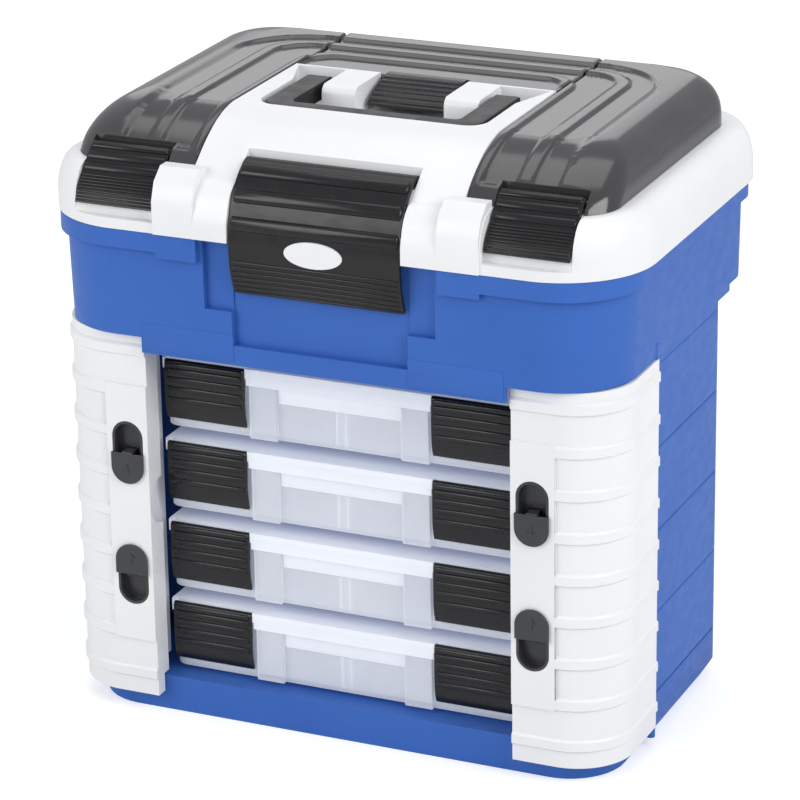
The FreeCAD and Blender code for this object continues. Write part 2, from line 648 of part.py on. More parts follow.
def make_side_cover():
    solid = cover_body(0.0)
    shape = solid.cut(cover_body(cover_wall))
    half = cover_latch_half + 1.0
    notch = block(cover_latch_x - half, cover_latch_x + half, cover_front - 2, cover_latch_axis[0] + 4.4,
                  lid_deck_z - 5, lid_top_z)
    liner = block(cover_latch_x - half - cover_wall, cover_latch_x + half + cover_wall, cover_front,
                  cover_latch_axis[0] + 4.4 + cover_wall, lid_deck_z + running_gap, lid_top_z)
    shape = fused(shape, liner.common(solid)).cut(notch)
    shape = shape.cut(rod_x(cover_latch_x - half - cover_wall - 1, cover_latch_x + half + cover_wall + 1,
                            cover_latch_axis[0], cover_latch_axis[1], latch_pin_radius + pin_play))
    return add_cover_knuckles(shape, 2)


def make_rear_cover():
    x = hump_half - 0.3
    front = hump_back + 0.6
    solid = rounded_prism(-x, x, front, cover_back, (1, 1, 2, 2), lid_deck_z + running_gap, lid_top_z)
    back_edges = [e for e in solid.Edges
                  if e.BoundBox.ZMin > lid_top_z - 0.1 and e.BoundBox.YMin > cover_back - 3]
    solid = solid.makeFillet(4.0, back_edges)
    hollow = block(-x + cover_wall, x - cover_wall, front + cover_wall, cover_back - cover_wall,
                   lid_deck_z - 1, lid_top_z - cover_wall)
    shape = solid.cut(hollow)
    half = cover_latch_half + 1.0
    notch = block(-half, half, front - 1, rear_latch_axis[0] + 4.6, rear_latch_axis[1] - 6, lid_top_z + 1)
    liner = block(-half - cover_wall, half + cover_wall, front, rear_latch_axis[0] + 4.6 + cover_wall,
                  rear_latch_axis[1] - 6 - cover_wall, lid_top_z - 0.5)
    shape = fused(shape, liner).cut(notch)
    shape = shape.cut(rod_x(-half - cover_wall - 1, half + cover_wall + 1, rear_latch_axis[0],
                            rear_latch_axis[1], latch_pin_radius + pin_play))
    return add_cover_knuckles(shape, 1)


def add_cover_knuckles(shape, index):
    x, reach = cover_hinge_sets()[index]
    for middle in (x - reach + 8, x + reach - 8):
        inward = 1 if middle < x else -1
        a, b = sorted((middle + inward * 6.4, middle + inward * 14.4))
        eye = rod_x(a, b, cover_axis_y, cover_axis_z, cover_knuckle_radius)
        arm = block(a, b, cover_back - 1.5, cover_axis_y, cover_axis_z - cover_knuckle_radius,
                    cover_axis_z + cover_knuckle_radius)
        shape = fused(shape, eye, arm)
    return shape.cut(rod_x(x - reach - 2, x + reach + 2, cover_axis_y, cover_axis_z,
                           cover_pin_radius + pin_play))


def make_cover_pin(index):
    x, reach = cover_hinge_sets()[index]
    return rod_x(x - reach + 1, x + reach - 1, cover_axis_y, cover_axis_z, cover_pin_radius)


# ---- latches of lid and covers ----------------------------------------------------------------------
rear_latch_axis = (hump_back + 5.0, lid_top_z - 3.6)
badge_width = 42.0
badge_height = 18.0
badge_z = lid_top_z - 72.0
badge_back = lid_front + 1.8


def latch(outer, axis, barrel, x0, x1):
    plate = curved_plate(outer, latch_thickness, x0, x1)
    shape = fused(plate, rod_x(x0, x1, axis[0], axis[1], barrel))
    return shape.cut(rod_x(x0 - 1, x1 + 1, axis[0], axis[1], latch_pin_radius + pin_play))


def make_front_latch():
    shape = latch(front_latch_profile, front_latch_axis, front_latch_barrel, -front_latch_half, front_latch_half)
    return shape.cut(badge(running_gap))


def make_cover_latch():
    return latch(cover_latch_profile, cover_latch_axis, cover_latch_barrel,
                 cover_latch_x - cover_latch_half, cover_latch_x + cover_latch_half)


def make_rear_latch():
    axis_y, axis_z = rear_latch_axis
    outer = [(axis_y + 2.0, axis_z + 2.8), (axis_y - 2.5, axis_z + 3.0), (axis_y - 14.0, axis_z + 0.6),
             (axis_y - 26.0, axis_z - 3.4), (axis_y - 37.0, axis_z - 9.4)]
    return latch(outer, rear_latch_axis, 2.8, -cover_latch_half, cover_latch_half)


def badge(clearance):
    """Bare oval plate let into the front latch; clearance grows it all round for its pocket."""
    height = badge_height / 2 + clearance
    plate = Part.makeCylinder(height, badge_back - lid_front + clearance, Vector(0, lid_front, badge_z),
                              Vector(0, 1, 0))
    stretch = FreeCAD.Matrix()
    stretch.A11 = (badge_width / 2 + clearance) / height
    return plate.transformGeometry(stretch)


# ---- doors ------------------------------------------------------------------------------------------
def door_outline(offset, z):
    """Outer outline of the right door in plan, closed through the inside of the cabinet."""
    half = door_half - offset
    front = door_front + offset
    radius = door_corner - offset
    start = Vector(door_inner_edge, front, z)
    bend = Vector(half - radius, front, z)
    mid = Vector(half - radius + radius * math.sin(math.pi / 4), front + radius - radius * math.cos(math.pi / 4), z)
    side = Vector(half, front + radius, z)
    end = Vector(half, door_hinge_y, z)
    edges = [Part.LineSegment(start, bend).toShape(), Part.Arc(bend, mid, side).toShape(),
             Part.LineSegment(side, end).toShape(),
             Part.LineSegment(end, Vector(door_inner_edge, door_hinge_y, z)).toShape(),
             Part.LineSegment(Vector(door_inner_edge, door_hinge_y, z), start).toShape()]
    return Part.Face(Part.Wire(edges))


def door_band(outer, inner, z0, z1):
    """Skin between two offsets of the door's outline."""
    body = door_outline(outer, z0).extrude(Vector(0, 0, z1 - z0))
    hollow = door_outline(inner, z0 - 1).extrude(Vector(0, 0, z1 - z0 + 2))
    return body.cut(hollow)


def make_door():
    base = door_rib_rise
    skin = door_band(base, base + door_skin, door_bottom, door_top)
    ribs = []
    for index in range(door_rib_count):
        z0 = door_rib_first + index * level_pitch / 2
        rib = door_band(0.0, base + 0.5, z0, z0 + door_rib_height)
        edges = [e for e in rib.Edges if abs(e.BoundBox.ZLength) < 0.01 and outer_edge(e)]
        ribs.append(rib.makeChamfer(door_rib_rise * 0.8, edges))
    pad = block(door_inner_edge, pad_outer, door_front, door_front + base + 0.5,
                door_rib_first + level_pitch / 2, door_rib_first + 7 * level_pitch / 2 + door_rib_height)
    flange = block(door_inner_edge, door_inner_edge + door_skin, door_front + base, door_front + door_return,
                   plinth_height + 1.5, bin_floor_z - bin_skirt_drop)
    low_flange = block(door_inner_edge, door_inner_edge + door_skin, door_front + base, plinth_front - 1.0,
                       door_bottom, bin_floor_z - bin_skirt_drop + 1)
    barrel = rod_z(door_hinge_x, door_hinge_y, door_bottom, door_top, door_barrel_radius)
    bottom = door_outline(base, door_bottom).extrude(Vector(0, 0, door_skin))
    half = plinth_half + 1.0
    bottom = bottom.cut(rounded_prism(-half, half, plinth_front - 1.0, 100, (plinth_corner + 1,) * 2 + (1, 1),
                                      0, plinth_height))
    bottom = bottom.cut(block(0, door_half + 5, door_hinge_y - 12, 0, 0, plinth_height))
    shape = fused(skin, pad, flange, low_flange, barrel, bottom, *ribs)
    clear = rod_z(door_hinge_x, door_hinge_y, door_bottom - 1, door_top + 1, door_pin_radius + pin_play)
    shape = shape.cut(clear)
    notch = Part.makeCylinder(finger_notch, 30, Vector(door_inner_edge - 10, door_front + door_return, notch_z),
                              Vector(1, 0, 0))
    shape = shape.cut(notch)
    for z in button_heights:
        shape = shape.cut(obround(button_x, z, button_width - 1.0, button_length - 1.0, door_front - 2,
                                  door_front + base + door_skin + 1))
    return shape


def outer_edge(edge):
    """True for an edge on the outermost face of a door rib."""
    for vertex in edge.Vertexes:
        on_front = abs(vertex.Y - door_front) < 0.05 and vertex.X < door_half - door_corner + 0.1
        on_side = abs(vertex.X - door_half) < 0.05 and vertex.Y > door_front + door_corner - 0.1
        if not (on_front or on_side):
            return False
    return edge.BoundBox.DiagonalLength > 5


def obround(x, z, width, length, y0, y1):
    """Upright rounded slot along Y."""
    radius = width / 2
    reach = length / 2 - radius
    middle = block(x - radius, x + radius, y0, y1, z - reach, z + reach)
    ends = [Part.makeCylinder(radius, y1 - y0, Vector(x, y0, z + s * reach), Vector(0, 1, 0)) for s in (-1, 1)]
    return fused(middle, *ends)


# ---- door buttons: a cup let into the door, and the slider that draws the bolt ------------------------
cup_depth = 9.0
slider_rise = 2.2


def make_cup(z, direction):
    """Cup of one button; direction is the way its slider travels, +1 up or -1 down."""
    front = door_front - 0.2
    outer = obround(button_x, z, button_width - 1.6, button_length - 1.6, front, front + cup_depth)
    inner = obround(button_x, z, button_width - 5.0, button_length - 5.0, front - 1, front + cup_depth - 1.6)
    slot_middle = z + direction * (slider_neck_offset + button_travel / 2)
    slot = block(button_x - neck_width / 2 - 0.4, button_x + neck_width / 2 + 0.4, front, front + cup_depth + 1,
                 slot_middle - (neck_length + button_travel) / 2 - 0.4,
                 slot_middle + (neck_length + button_travel) / 2 + 0.4)
    return outer.cut(inner).cut(slot)


neck_width = 8.0
neck_length = 8.0
slider_neck_offset = 3.5


def make_slider(z, direction):
    """Tongue on the cup's half, a neck through the slot, and the bolt plate behind the cup."""
    front = door_front - 0.2
    plate = obround(button_x, z, button_width, button_length, front - slider_rise, front - running_gap)
    keep_a, keep_b = sorted((z + direction * 0.5, z + direction * 30))
    plate = plate.common(block(button_x - 20, button_x + 20, front - 10, front + 10, keep_a, keep_b))
    middle = z + direction * slider_neck_offset
    neck = block(button_x - neck_width / 2, button_x + neck_width / 2, front - slider_rise + 0.5,
                 front + cup_depth + 2.0, middle - neck_length / 2, middle + neck_length / 2)
    bolt = block(button_x - 6, button_x + 6, front + cup_depth + running_gap, front + cup_depth + 2.6,
                 middle - 7, middle + 7)
    return fused(plate, neck, bolt)


# ---- cases ---------------------------------------------------------------------------------------------
pillar_outer = case_latch_inner - 2.8
pillar_inner = pillar_outer - 20.5
pillar_rise = 3.6
flange_half = pillar_outer + 1.6
flange_lip = 0.5            # flange in front of the pillars
flange_drop = 5.0           # flange below the lid's own edge, in front of the tray
case_latch_radius = 2.3
trunnion_radius = 1.2
trunnion_length = 1.6
front_row_share = 0.42      # of the case's depth in front of the long divider


def case_levels():
    return [case_bottom_z + level * level_pitch for level in range(case_count)]


def case_latch_axis(z):
    return (case_front - 2.6, z + case_height - 3.0)


def make_tray(z):
    half = case_width / 2
    radii = (case_corner,) * 4
    top = z + case_height - case_lid_height - running_gap
    shape = rounded_prism(-half, half, case_front, case_front + case_depth, radii, z, top)
    inner_radii = (case_corner - case_wall,) * 4
    shape = shape.cut(rounded_prism(-half + case_wall, half - case_wall, case_front + case_wall,
                                    case_front + case_depth - case_wall, inner_radii, z + case_wall, top + 1))
    pillar_top = top - flange_drop
    pillars = [block(min(a, b), max(a, b), case_front - pillar_rise, case_front + 0.5, z, pillar_top)
               for a, b in ((-pillar_outer, -pillar_inner), (pillar_inner, pillar_outer))]
    return fused(shape, *pillars)


def make_case_lid(z):
    half = case_width / 2
    low = z + case_height - case_lid_height
    high = z + case_height
    radii = (case_corner,) * 4
    shape = rounded_prism(-half, half, case_front, case_front + case_depth, radii, low, high)
    inner_radii = (case_corner - case_wall,) * 4
    shape = shape.cut(rounded_prism(-half + case_wall, half - case_wall, case_front + case_wall,
                                    case_front + case_depth - case_wall, inner_radii, low - 1,
                                    high - case_wall))
    flange = block(-flange_half, flange_half, case_front - pillar_rise - flange_lip, case_front + 1.0, low, high)
    apron = block(-flange_half, flange_half, case_front - pillar_rise - flange_lip, case_front - running_gap,
                  low - flange_drop, low)
    axis_y, axis_z = case_latch_axis(z)
    shape = fused(shape, flange, apron)
    for side in (-1, 1):
        for a, b in ((pillar_outer - 1, case_latch_inner - 0.4), (case_latch_outer + 0.4, half)):
            ear = block(min(side * a, side * b), max(side * a, side * b), axis_y - 1.8, case_front + 12, low, high)
            if b == half:
                ear = ear.common(rounded_prism(-half, half, case_front - 8, case_front + case_depth,
                                               radii, low, high))
            shape = fused(shape, ear)
    return shape.cut(rod_x(-case_latch_outer - trunnion_length - 0.3, case_latch_outer + trunnion_length + 0.3,
                           axis_y, axis_z, trunnion_radius + pin_play))


def make_case_latch(z):
    axis_y, axis_z = case_latch_axis(z)
    outer = [(axis_y + 1.2, axis_z + 2.0), (axis_y - 1.6, axis_z + 1.8), (axis_y - 2.9, axis_z - 3.0),
             (axis_y - 3.2, axis_z - 20.0), (axis_y - 2.2, axis_z - 34.0), (axis_y - 0.2, axis_z - 40.5)]
    plate = curved_plate(outer, 2.0, case_latch_inner, case_latch_outer)
    barrel = rod_x(case_latch_inner, case_latch_outer, axis_y, axis_z, case_latch_radius)
    stubs = rod_x(case_latch_inner - trunnion_length, case_latch_outer + trunnion_length, axis_y, axis_z,
                  trunnion_radius)
    return fused(plate, barrel, stubs)


def make_dividers(z):
    half = case_width / 2 - case_wall - running_gap
    depth = case_depth - 2 * case_wall - 2 * running_gap
    low = z + case_wall + running_gap
    high = z + case_height - case_lid_height - 3.0
    thickness = 1.5
    front = case_front + case_wall + running_gap
    middle = front + front_row_share * depth
    pieces = [block(-half, half, middle, middle + thickness, low, high)]
    for x in (-half / 2, 0.0, half / 2):
        pieces.append(block(x - thickness / 2, x + thickness / 2, front, middle - running_gap, low, high))
    return Part.makeCompound(pieces)


# ---- writing the pieces -----------------------------------------------------------------------------------
write("base", make_base())
for level in range(case_count):
    write("drawer_frame_%d" % (level + 1), make_frame(level))
write("bin", make_bin())
write("lid", make_lid())
write("lid_hinge_pins", make_lid_pins())
write("handle", make_handle())
write("handle_pins", make_handle_pins())
write("front_latch", make_front_latch())
write("front_latch_pin", rod_x(-front_latch_half - 6, front_latch_half + 6, front_latch_axis[0],
                               front_latch_axis[1], latch_pin_radius))
write("front_latch_plate", badge(0.0))
write_pair("cover", make_side_cover())
write_pair("cover_pin", make_cover_pin(2))
write_pair("cover_latch", make_cover_latch())
write_pair("cover_latch_pin", rod_x(cover_latch_x - cover_latch_half - 2.6, cover_latch_x + cover_latch_half + 2.6,
                                    cover_latch_axis[0], cover_latch_axis[1], latch_pin_radius))
write("rear_cover", make_rear_cover())
write("rear_cover_pin", make_cover_pin(1))
write("rear_cover_latch", make_rear_latch())
write("rear_cover_latch_pin", rod_x(-cover_latch_half - 2.6, cover_latch_half + 2.6, rear_latch_axis[0],
                                    rear_latch_axis[1], latch_pin_radius))
write_pair("door", make_door())
write_pair("door_pin", make_door_pin(1))
for place, height, direction in (("lower", button_heights[0], 1), ("upper", button_heights[1], -1)):
    write_pair("door_%s_cup" % place, make_cup(height, direction))
    write_pair("door_%s_slider" % place, make_slider(height, direction))
for number, z in enumerate(case_levels(), 1):
    write("case_%d_tray" % number, make_tray(z))
    write("case_%d_lid" % number, make_case_lid(z))
    write("case_%d_dividers" % number, make_dividers(z))
    write("case_%d_right_latch" % number, make_case_latch(z))
    write("case_%d_left_latch" % number, mirrored(make_case_latch(z)))
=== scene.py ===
import json
import math

import bmesh
import bpy
from mathutils import Matrix, Vector
from mathutils.bvhtree import BVHTree

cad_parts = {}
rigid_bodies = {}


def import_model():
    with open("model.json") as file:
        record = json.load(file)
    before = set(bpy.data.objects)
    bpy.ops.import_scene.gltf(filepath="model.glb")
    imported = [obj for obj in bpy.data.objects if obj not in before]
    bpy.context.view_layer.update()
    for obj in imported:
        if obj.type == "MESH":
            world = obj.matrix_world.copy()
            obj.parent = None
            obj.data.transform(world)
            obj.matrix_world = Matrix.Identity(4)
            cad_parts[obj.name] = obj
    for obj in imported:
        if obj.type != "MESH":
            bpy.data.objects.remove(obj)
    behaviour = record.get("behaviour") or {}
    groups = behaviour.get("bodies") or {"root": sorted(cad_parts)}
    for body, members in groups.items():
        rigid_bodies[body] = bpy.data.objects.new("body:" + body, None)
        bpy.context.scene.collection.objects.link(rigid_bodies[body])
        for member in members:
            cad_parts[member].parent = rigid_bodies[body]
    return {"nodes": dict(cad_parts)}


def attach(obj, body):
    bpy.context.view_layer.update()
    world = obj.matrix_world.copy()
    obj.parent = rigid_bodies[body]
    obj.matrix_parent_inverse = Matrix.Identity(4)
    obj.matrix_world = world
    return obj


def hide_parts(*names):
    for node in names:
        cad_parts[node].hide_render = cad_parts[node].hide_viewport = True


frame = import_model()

# Blender's own first objects aren't part of the picture
for spare in [o for o in bpy.data.objects if o.name in ("Cube", "Camera", "Light")]:
    bpy.data.objects.remove(spare)
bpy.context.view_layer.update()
cad = frame["nodes"]
MM = 0.001

# ---- base ---------------------------------------------------------------------------------------
# The tray-like foot that the whole stack stands on: one blue polypropylene moulding, its edges
# eased where it left the mould, with a fine spark-eroded grain. The first drawer frame drops in.


def moulded_plastic(name, body, deeper, gloss=(0.34, 0.5), grain=0.00007, grain_size=1500.0,
                    scuffs=0.03, shine=0.5):
    """Grained polypropylene: colour drifts a little, rubbed streaks are duller, the skin is pebbled."""
    skin = bpy.data.materials.new(name)
    skin.use_nodes = True
    tree = skin.node_tree
    add, link = tree.nodes.new, tree.links.new
    shade = tree.nodes["Principled BSDF"]
    shade.inputs["Specular IOR Level"].default_value = shine
    place = add("ShaderNodeTexCoord")
    drift = add("ShaderNodeTexNoise")
    drift.inputs["Scale"].default_value = 9.0
    drift.inputs["Detail"].default_value = 4.0
    tint = add("ShaderNodeValToRGB")
    tint.color_ramp.elements[0].position = 0.3
    tint.color_ramp.elements[0].color = (*deeper, 1)
    tint.color_ramp.elements[1].position = 0.7
    tint.color_ramp.elements[1].color = (*body, 1)
    rubbed = add("ShaderNodeMapping")
    rubbed.inputs["Scale"].default_value = (34.0, 34.0, 60.0)
    streak = add("ShaderNodeTexNoise")
    streak.inputs["Scale"].default_value = 2.2
    streak.inputs["Detail"].default_value = 8.0
    wear = add("ShaderNodeMapRange")
    wear.inputs["From Min"].default_value = 0.35
    wear.inputs["From Max"].default_value = 0.75
    wear.inputs["To Min"].default_value = gloss[0]
    wear.inputs["To Max"].default_value = gloss[1]
    pale = add("ShaderNodeMapRange")
    pale.inputs["From Min"].default_value = 0.62
    pale.inputs["From Max"].default_value = 0.8
    pale.inputs["To Max"].default_value = scuffs
    worn = add("ShaderNodeMix")
    worn.data_type = "RGBA"
    worn.inputs["B"].default_value = tuple(min(1.0, 0.35 + 0.65 * c) for c in body) + (1,)
    pebble = add("ShaderNodeTexVoronoi")
    pebble.inputs["Scale"].default_value = grain_size
    relief = add("ShaderNodeBump")
    relief.inputs["Strength"].default_value = 0.35
    relief.inputs["Distance"].default_value = grain
    link(place.outputs["Object"], drift.inputs["Vector"])
    link(place.outputs["Object"], rubbed.inputs["Vector"])
    link(place.outputs["Object"], pebble.inputs["Vector"])
    link(rubbed.outputs["Vector"], streak.inputs["Vector"])
    link(drift.outputs["Fac"], tint.inputs["Fac"])
    link(streak.outputs["Fac"], wear.inputs["Value"])
    link(streak.outputs["Fac"], pale.inputs["Value"])
    link(tint.outputs["Color"], worn.inputs["A"])
    link(pale.outputs["Result"], worn.inputs["Factor"])
    link(worn.outputs["Result"], shade.inputs["Base Color"])
    link(wear.outputs["Result"], shade.inputs["Roughness"])
    link(pebble.outputs["Distance"], relief.inputs["Height"])
    link(relief.outputs["Normal"], shade.inputs["Normal"])
    return skin


def eased(node, name, radius, skin, body):
    """A node's own shape as one closed skin with its edges rounded, standing for the node."""
    weld = 0.02 * MM
    flat_within, edge_from = math.radians(0.6), math.radians(38)
    mesh = cad[node].data.copy()
    for spare in ("custom_normal", "sharp_face"):
        if spare in mesh.attributes:
            mesh.attributes.remove(mesh.attributes[spare])
    form = bmesh.new()
    form.from_mesh(mesh)
    bmesh.ops.remove_doubles(form, verts=form.verts, dist=weld)
    bmesh.ops.dissolve_limit(form, angle_limit=flat_within, verts=form.verts, edges=form.edges)
    form.to_mesh(mesh)
    form.free()
    mesh.materials.clear()
    mesh.materials.append(skin)
    piece = bpy.data.objects.new(name, mesh)
    bpy.context.scene.collection.objects.link(piece)
    mesh.shade_smooth()
    rounding = piece.modifiers.new("eased edges", "BEVEL")
    rounding.width = radius
    rounding.segments = 2
    rounding.limit_method = "ANGLE"
    rounding.angle_limit = edge_from
    rounding.harden_normals = True
    rounding.use_clamp_overlap = True
    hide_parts(node)
    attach(piece, body)


blue = moulded_plastic("blue_polypropylene", (0.047, 0.142, 0.490), (0.040, 0.126, 0.455), shine=0.18)
eased("base", "base_moulding", 0.8 * MM, blue, "cabinet")

# ---- drawer frames ------------------------------------------------------------------------------
# Four open frames in the same blue plastic, stacked on the base. Each has the shelf that a case
# runs on, hollow sides and a V-shaped joint line to the next one that shows on the outside.
levels = (1, 2, 3, 4)
for level in levels:
    eased("drawer_frame_%d" % level, "frame_%d_moulding" % level, 0.5 * MM, blue, "cabinet")

# ---- bin ----------------------------------------------------------------------------------------
# The deep open box on top of the stack, blue plastic with a rolled lip. Its front wall steps back
# in the middle for the big latch. Low panels stand out on the wall above the doors' inner edges,
# and a step in the floor joins it to the raised floor of the overhang.


def box_into(form, x0, x1, y0, y1, z0, z1):
    """Adds a box, given in millimetres, to a form."""
    low, high = (x0, y0, z0), (x1, y1, z1)
    made = bmesh.ops.create_cube(form, size=1.0)
    for vert in made["verts"]:
        vert.co = Vector([a if c < 0 else b for a, b, c in zip(low, high, vert.co)]) * MM


def object_of(name, form, skin):
    """Object with the form as its mesh; the form is used up."""
    mesh = bpy.data.meshes.new(name)
    form.to_mesh(mesh)
    form.free()
    mesh.materials.append(skin)
    piece = bpy.data.objects.new(name, mesh)
    bpy.context.scene.collection.objects.link(piece)
    return piece


def softened(name, form, radius, skin):
    """Object of the form with every edge rounded."""
    sharp_from = math.radians(50)
    bmesh.ops.bevel(form, geom=form.edges[:], offset=radius, segments=2, affect="EDGES", profile=0.5)
    piece = object_of(name, form, skin)
    piece.data.shade_smooth()
    piece.data.set_sharp_from_angle(angle=sharp_from)
    return piece


eased("bin", "bin_moulding", 0.8 * MM, blue, "cabinet")
panel_inner, panel_outer = 63.6, 131.6
panel_front, panel_back = -139.05, -137.45
panel_bottom, panel_top = 275.0, 294.5
form = bmesh.new()
for way in (-1, 1):
    near, far = sorted((way * panel_inner, way * panel_outer))
    box_into(form, near, far, panel_front, panel_back, panel_bottom, panel_top)
panels = softened("bin_front_panels", form, 0.3 * MM, blue)
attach(panels, "cabinet")
# the step in the floor, in the gap that the moulding's own shape leaves open
step_half = 202.6
step_front, step_back = 93.4, 96.0
step_bottom, step_top = 284.3, 291.5
form = bmesh.new()
box_into(form, -step_half, step_half, step_front, step_back, step_bottom, step_top)
step = object_of("bin_floor_step", form, blue)
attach(step, "cabinet")

# ---- lid ----------------------------------------------------------------------------------------
# White moulding with a raised middle that carries the handle, and a sunk compartment each side and
# behind. It turns on two steel pins at the back of the bin.
white = moulded_plastic("white_polypropylene", (0.83, 0.835, 0.84), (0.79, 0.797, 0.806), gloss=(0.32, 0.46),
                        grain=0.00005, scuffs=0.1)
eased("lid", "lid_moulding", 0.9 * MM, white, "lid")

# ---- doors --------------------------------------------------------------------------------------
# Two white corner doors, quarter-round in plan, with soft ribs all the way round the corner and a
# flat pad along the gap, which a wall behind it stiffens and closes at the finger notch. Each
# turns on a long pin through the frames at the side of the cabinet.
wall_near, wall_far = 140.6, 142.2
wall_front, wall_back = -122.2, -99.2
wall_bottom, wall_top = 34.0, 266.0
flap_front = -131.0
flap_bottom, flap_top = 131.0, 171.0
sides = (("right", 1), ("left", -1))
for side, way in sides:
    eased(side + "_door", side + "_door_moulding", 0.7 * MM, white, side + "_door")
    near, far = sorted((way * wall_near, way * wall_far))
    form = bmesh.new()
    box_into(form, near, far, wall_front, wall_back, wall_bottom, wall_top)
    box_into(form, near, far, flap_front, wall_front, flap_bottom, flap_top)
    wall = object_of(side + "_door_inner_wall", form, white)
    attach(wall, side + "_door")

# ---- steel pins ---------------------------------------------------------------------------------
# Drawn wire pins of the hinges, cut to length and pressed through the lugs; bright, with fine
# lines along their length.


def drawn_wire():
    """Bright drawn steel with fine lines along X."""
    steel = bpy.data.materials.new("drawn_steel_wire")
    steel.use_nodes = True
    tree = steel.node_tree
    add, link = tree.nodes.new, tree.links.new
    shade = tree.nodes["Principled BSDF"]
    shade.inputs["Metallic"].default_value = 1.0
    place = add("ShaderNodeTexCoord")
    along = add("ShaderNodeMapping")
    along.inputs["Scale"].default_value = (40.0, 2600.0, 2600.0)
    lines = add("ShaderNodeTexNoise")
    lines.inputs["Scale"].default_value = 1.0
    lines.inputs["Detail"].default_value = 4.0
    tint = add("ShaderNodeValToRGB")
    tint.color_ramp.elements[0].color = (0.40, 0.40, 0.41, 1)
    tint.color_ramp.elements[1].color = (0.66, 0.66, 0.67, 1)
    dull = add("ShaderNodeMapRange")
    dull.inputs["To Min"].default_value = 0.2
    dull.inputs["To Max"].default_value = 0.45
    relief = add("ShaderNodeBump")
    relief.inputs["Strength"].default_value = 0.3
    relief.inputs["Distance"].default_value = 0.00003
    link(place.outputs["Object"], along.inputs["Vector"])
    link(along.outputs["Vector"], lines.inputs["Vector"])
    link(lines.outputs["Fac"], tint.inputs["Fac"])
    link(lines.outputs["Fac"], dull.inputs["Value"])
    link(lines.outputs["Fac"], relief.inputs["Height"])
    link(tint.outputs["Color"], shade.inputs["Base Color"])
    link(dull.outputs["Result"], shade.inputs["Roughness"])
    link(relief.outputs["Normal"], shade.inputs["Normal"])
    return steel


steel = drawn_wire()
for node in cad:
    if node.endswith(("_pin", "_pins")):
        cad[node].data.materials[0] = steel

# ---- front latch --------------------------------------------------------------------------------
# The big latch over the lid's front, black satin plastic, moulded in one piece with three broad
# ribs over its shoulder and a field of fine ones below, which the fingers pull on.


def rib_tree():
    """Rounded ribs across a profile that lies in a plane of constant X."""
    tree = bpy.data.node_groups.new("ribs_across_a_profile", "GeometryNodeTree")
    sockets = tree.interface
    sockets.new_socket("Profile", in_out="INPUT", socket_type="NodeSocketGeometry")
    sockets.new_socket("Ribs", in_out="INPUT", socket_type="NodeSocketInt")
    for size in ("First", "Last", "Crowding", "Length", "Half Width", "Rise"):
        sockets.new_socket(size, in_out="INPUT", socket_type="NodeSocketFloat")
    sockets.new_socket("Finish", in_out="INPUT", socket_type="NodeSocketMaterial")
    sockets.new_socket("Ribs", in_out="OUTPUT", socket_type="NodeSocketGeometry")
    add, link = tree.nodes.new, tree.links.new
    given = add("NodeGroupInput").outputs
    result = add("NodeGroupOutput")

    def worked(operation, *terms):
        node = add("ShaderNodeMath")
        node.operation = operation
        for socket, term in zip(node.inputs, terms):
            if isinstance(term, (int, float)):
                socket.default_value = term
            else:
                link(term, socket)
        return node.outputs[0]

    def triple(*parts):
        node = add("ShaderNodeCombineXYZ")
        for socket, value in zip(node.inputs, parts):
            link(value, socket)
        return node.outputs[0]

    trace = add("GeometryNodeMeshToCurve")
    link(given["Profile"], trace.inputs["Mesh"])
    marks = add("GeometryNodePoints")
    link(given["Ribs"], marks.inputs["Count"])
    gaps = worked("MAXIMUM", worked("SUBTRACT", given["Ribs"], 1.0), 1.0)
    part = worked("DIVIDE", add("GeometryNodeInputIndex").outputs[0], gaps)
    share = worked("POWER", part, given["Crowding"])
    span = worked("SUBTRACT", given["Last"], given["First"])
    at = add("GeometryNodeSampleCurve")
    at.use_all_curves = True
    link(trace.outputs["Curve"], at.inputs["Curves"])
    link(worked("MULTIPLY_ADD", share, span, given["First"]), at.inputs["Factor"])
    put = add("GeometryNodeSetPosition")
    link(marks.outputs[0], put.inputs["Geometry"])
    link(at.outputs["Position"], put.inputs["Position"])
    lie = add("FunctionNodeAlignRotationToVector")
    lie.axis = "Y"
    lie.pivot_axis = "X"
    link(at.outputs["Tangent"], lie.inputs["Vector"])
    ball = add("GeometryNodeMeshUVSphere")
    ball.inputs["Segments"].default_value = 12
    ball.inputs["Rings"].default_value = 8
    ball.inputs["Radius"].default_value = 1.0
    squeeze = add("GeometryNodeTransform")
    link(ball.outputs["Mesh"], squeeze.inputs["Geometry"])
    link(triple(given["Rise"], given["Half Width"], given["Rise"]), squeeze.inputs["Scale"])
    apart = add("ShaderNodeSeparateXYZ")
    link(add("GeometryNodeInputPosition").outputs[0], apart.inputs[0])
    straight = worked("SUBTRACT", worked("MULTIPLY", given["Length"], 0.5), given["Rise"])
    stretch = add("GeometryNodeSetPosition")
    link(squeeze.outputs[0], stretch.inputs["Geometry"])
    link(triple(worked("MULTIPLY", worked("SIGN", apart.outputs["X"]), straight)), stretch.inputs["Offset"])
    each = add("GeometryNodeInstanceOnPoints")
    link(put.outputs[0], each.inputs["Points"])
    link(stretch.outputs[0], each.inputs["Instance"])
    link(lie.outputs[0], each.inputs["Rotation"])
    real = add("GeometryNodeRealizeInstances")
    link(each.outputs[0], real.inputs[0])
    smooth = add("GeometryNodeSetShadeSmooth")
    link(real.outputs[0], smooth.inputs["Geometry"])
    finish = add("GeometryNodeSetMaterial")
    link(smooth.outputs[0], finish.inputs["Geometry"])
    link(given["Finish"], finish.inputs["Material"])
    link(finish.outputs[0], result.inputs[0])
    return tree


def smooth_between(a, b, c, d, t):
    """Value at share t of the way from b to c, on the smooth line that comes from a and goes on to d."""
    return b + 0.5 * t * (c - a + (2 * a - 5 * b + 4 * c - d) * t + (3 * b - a - 3 * c + d) * t * t)


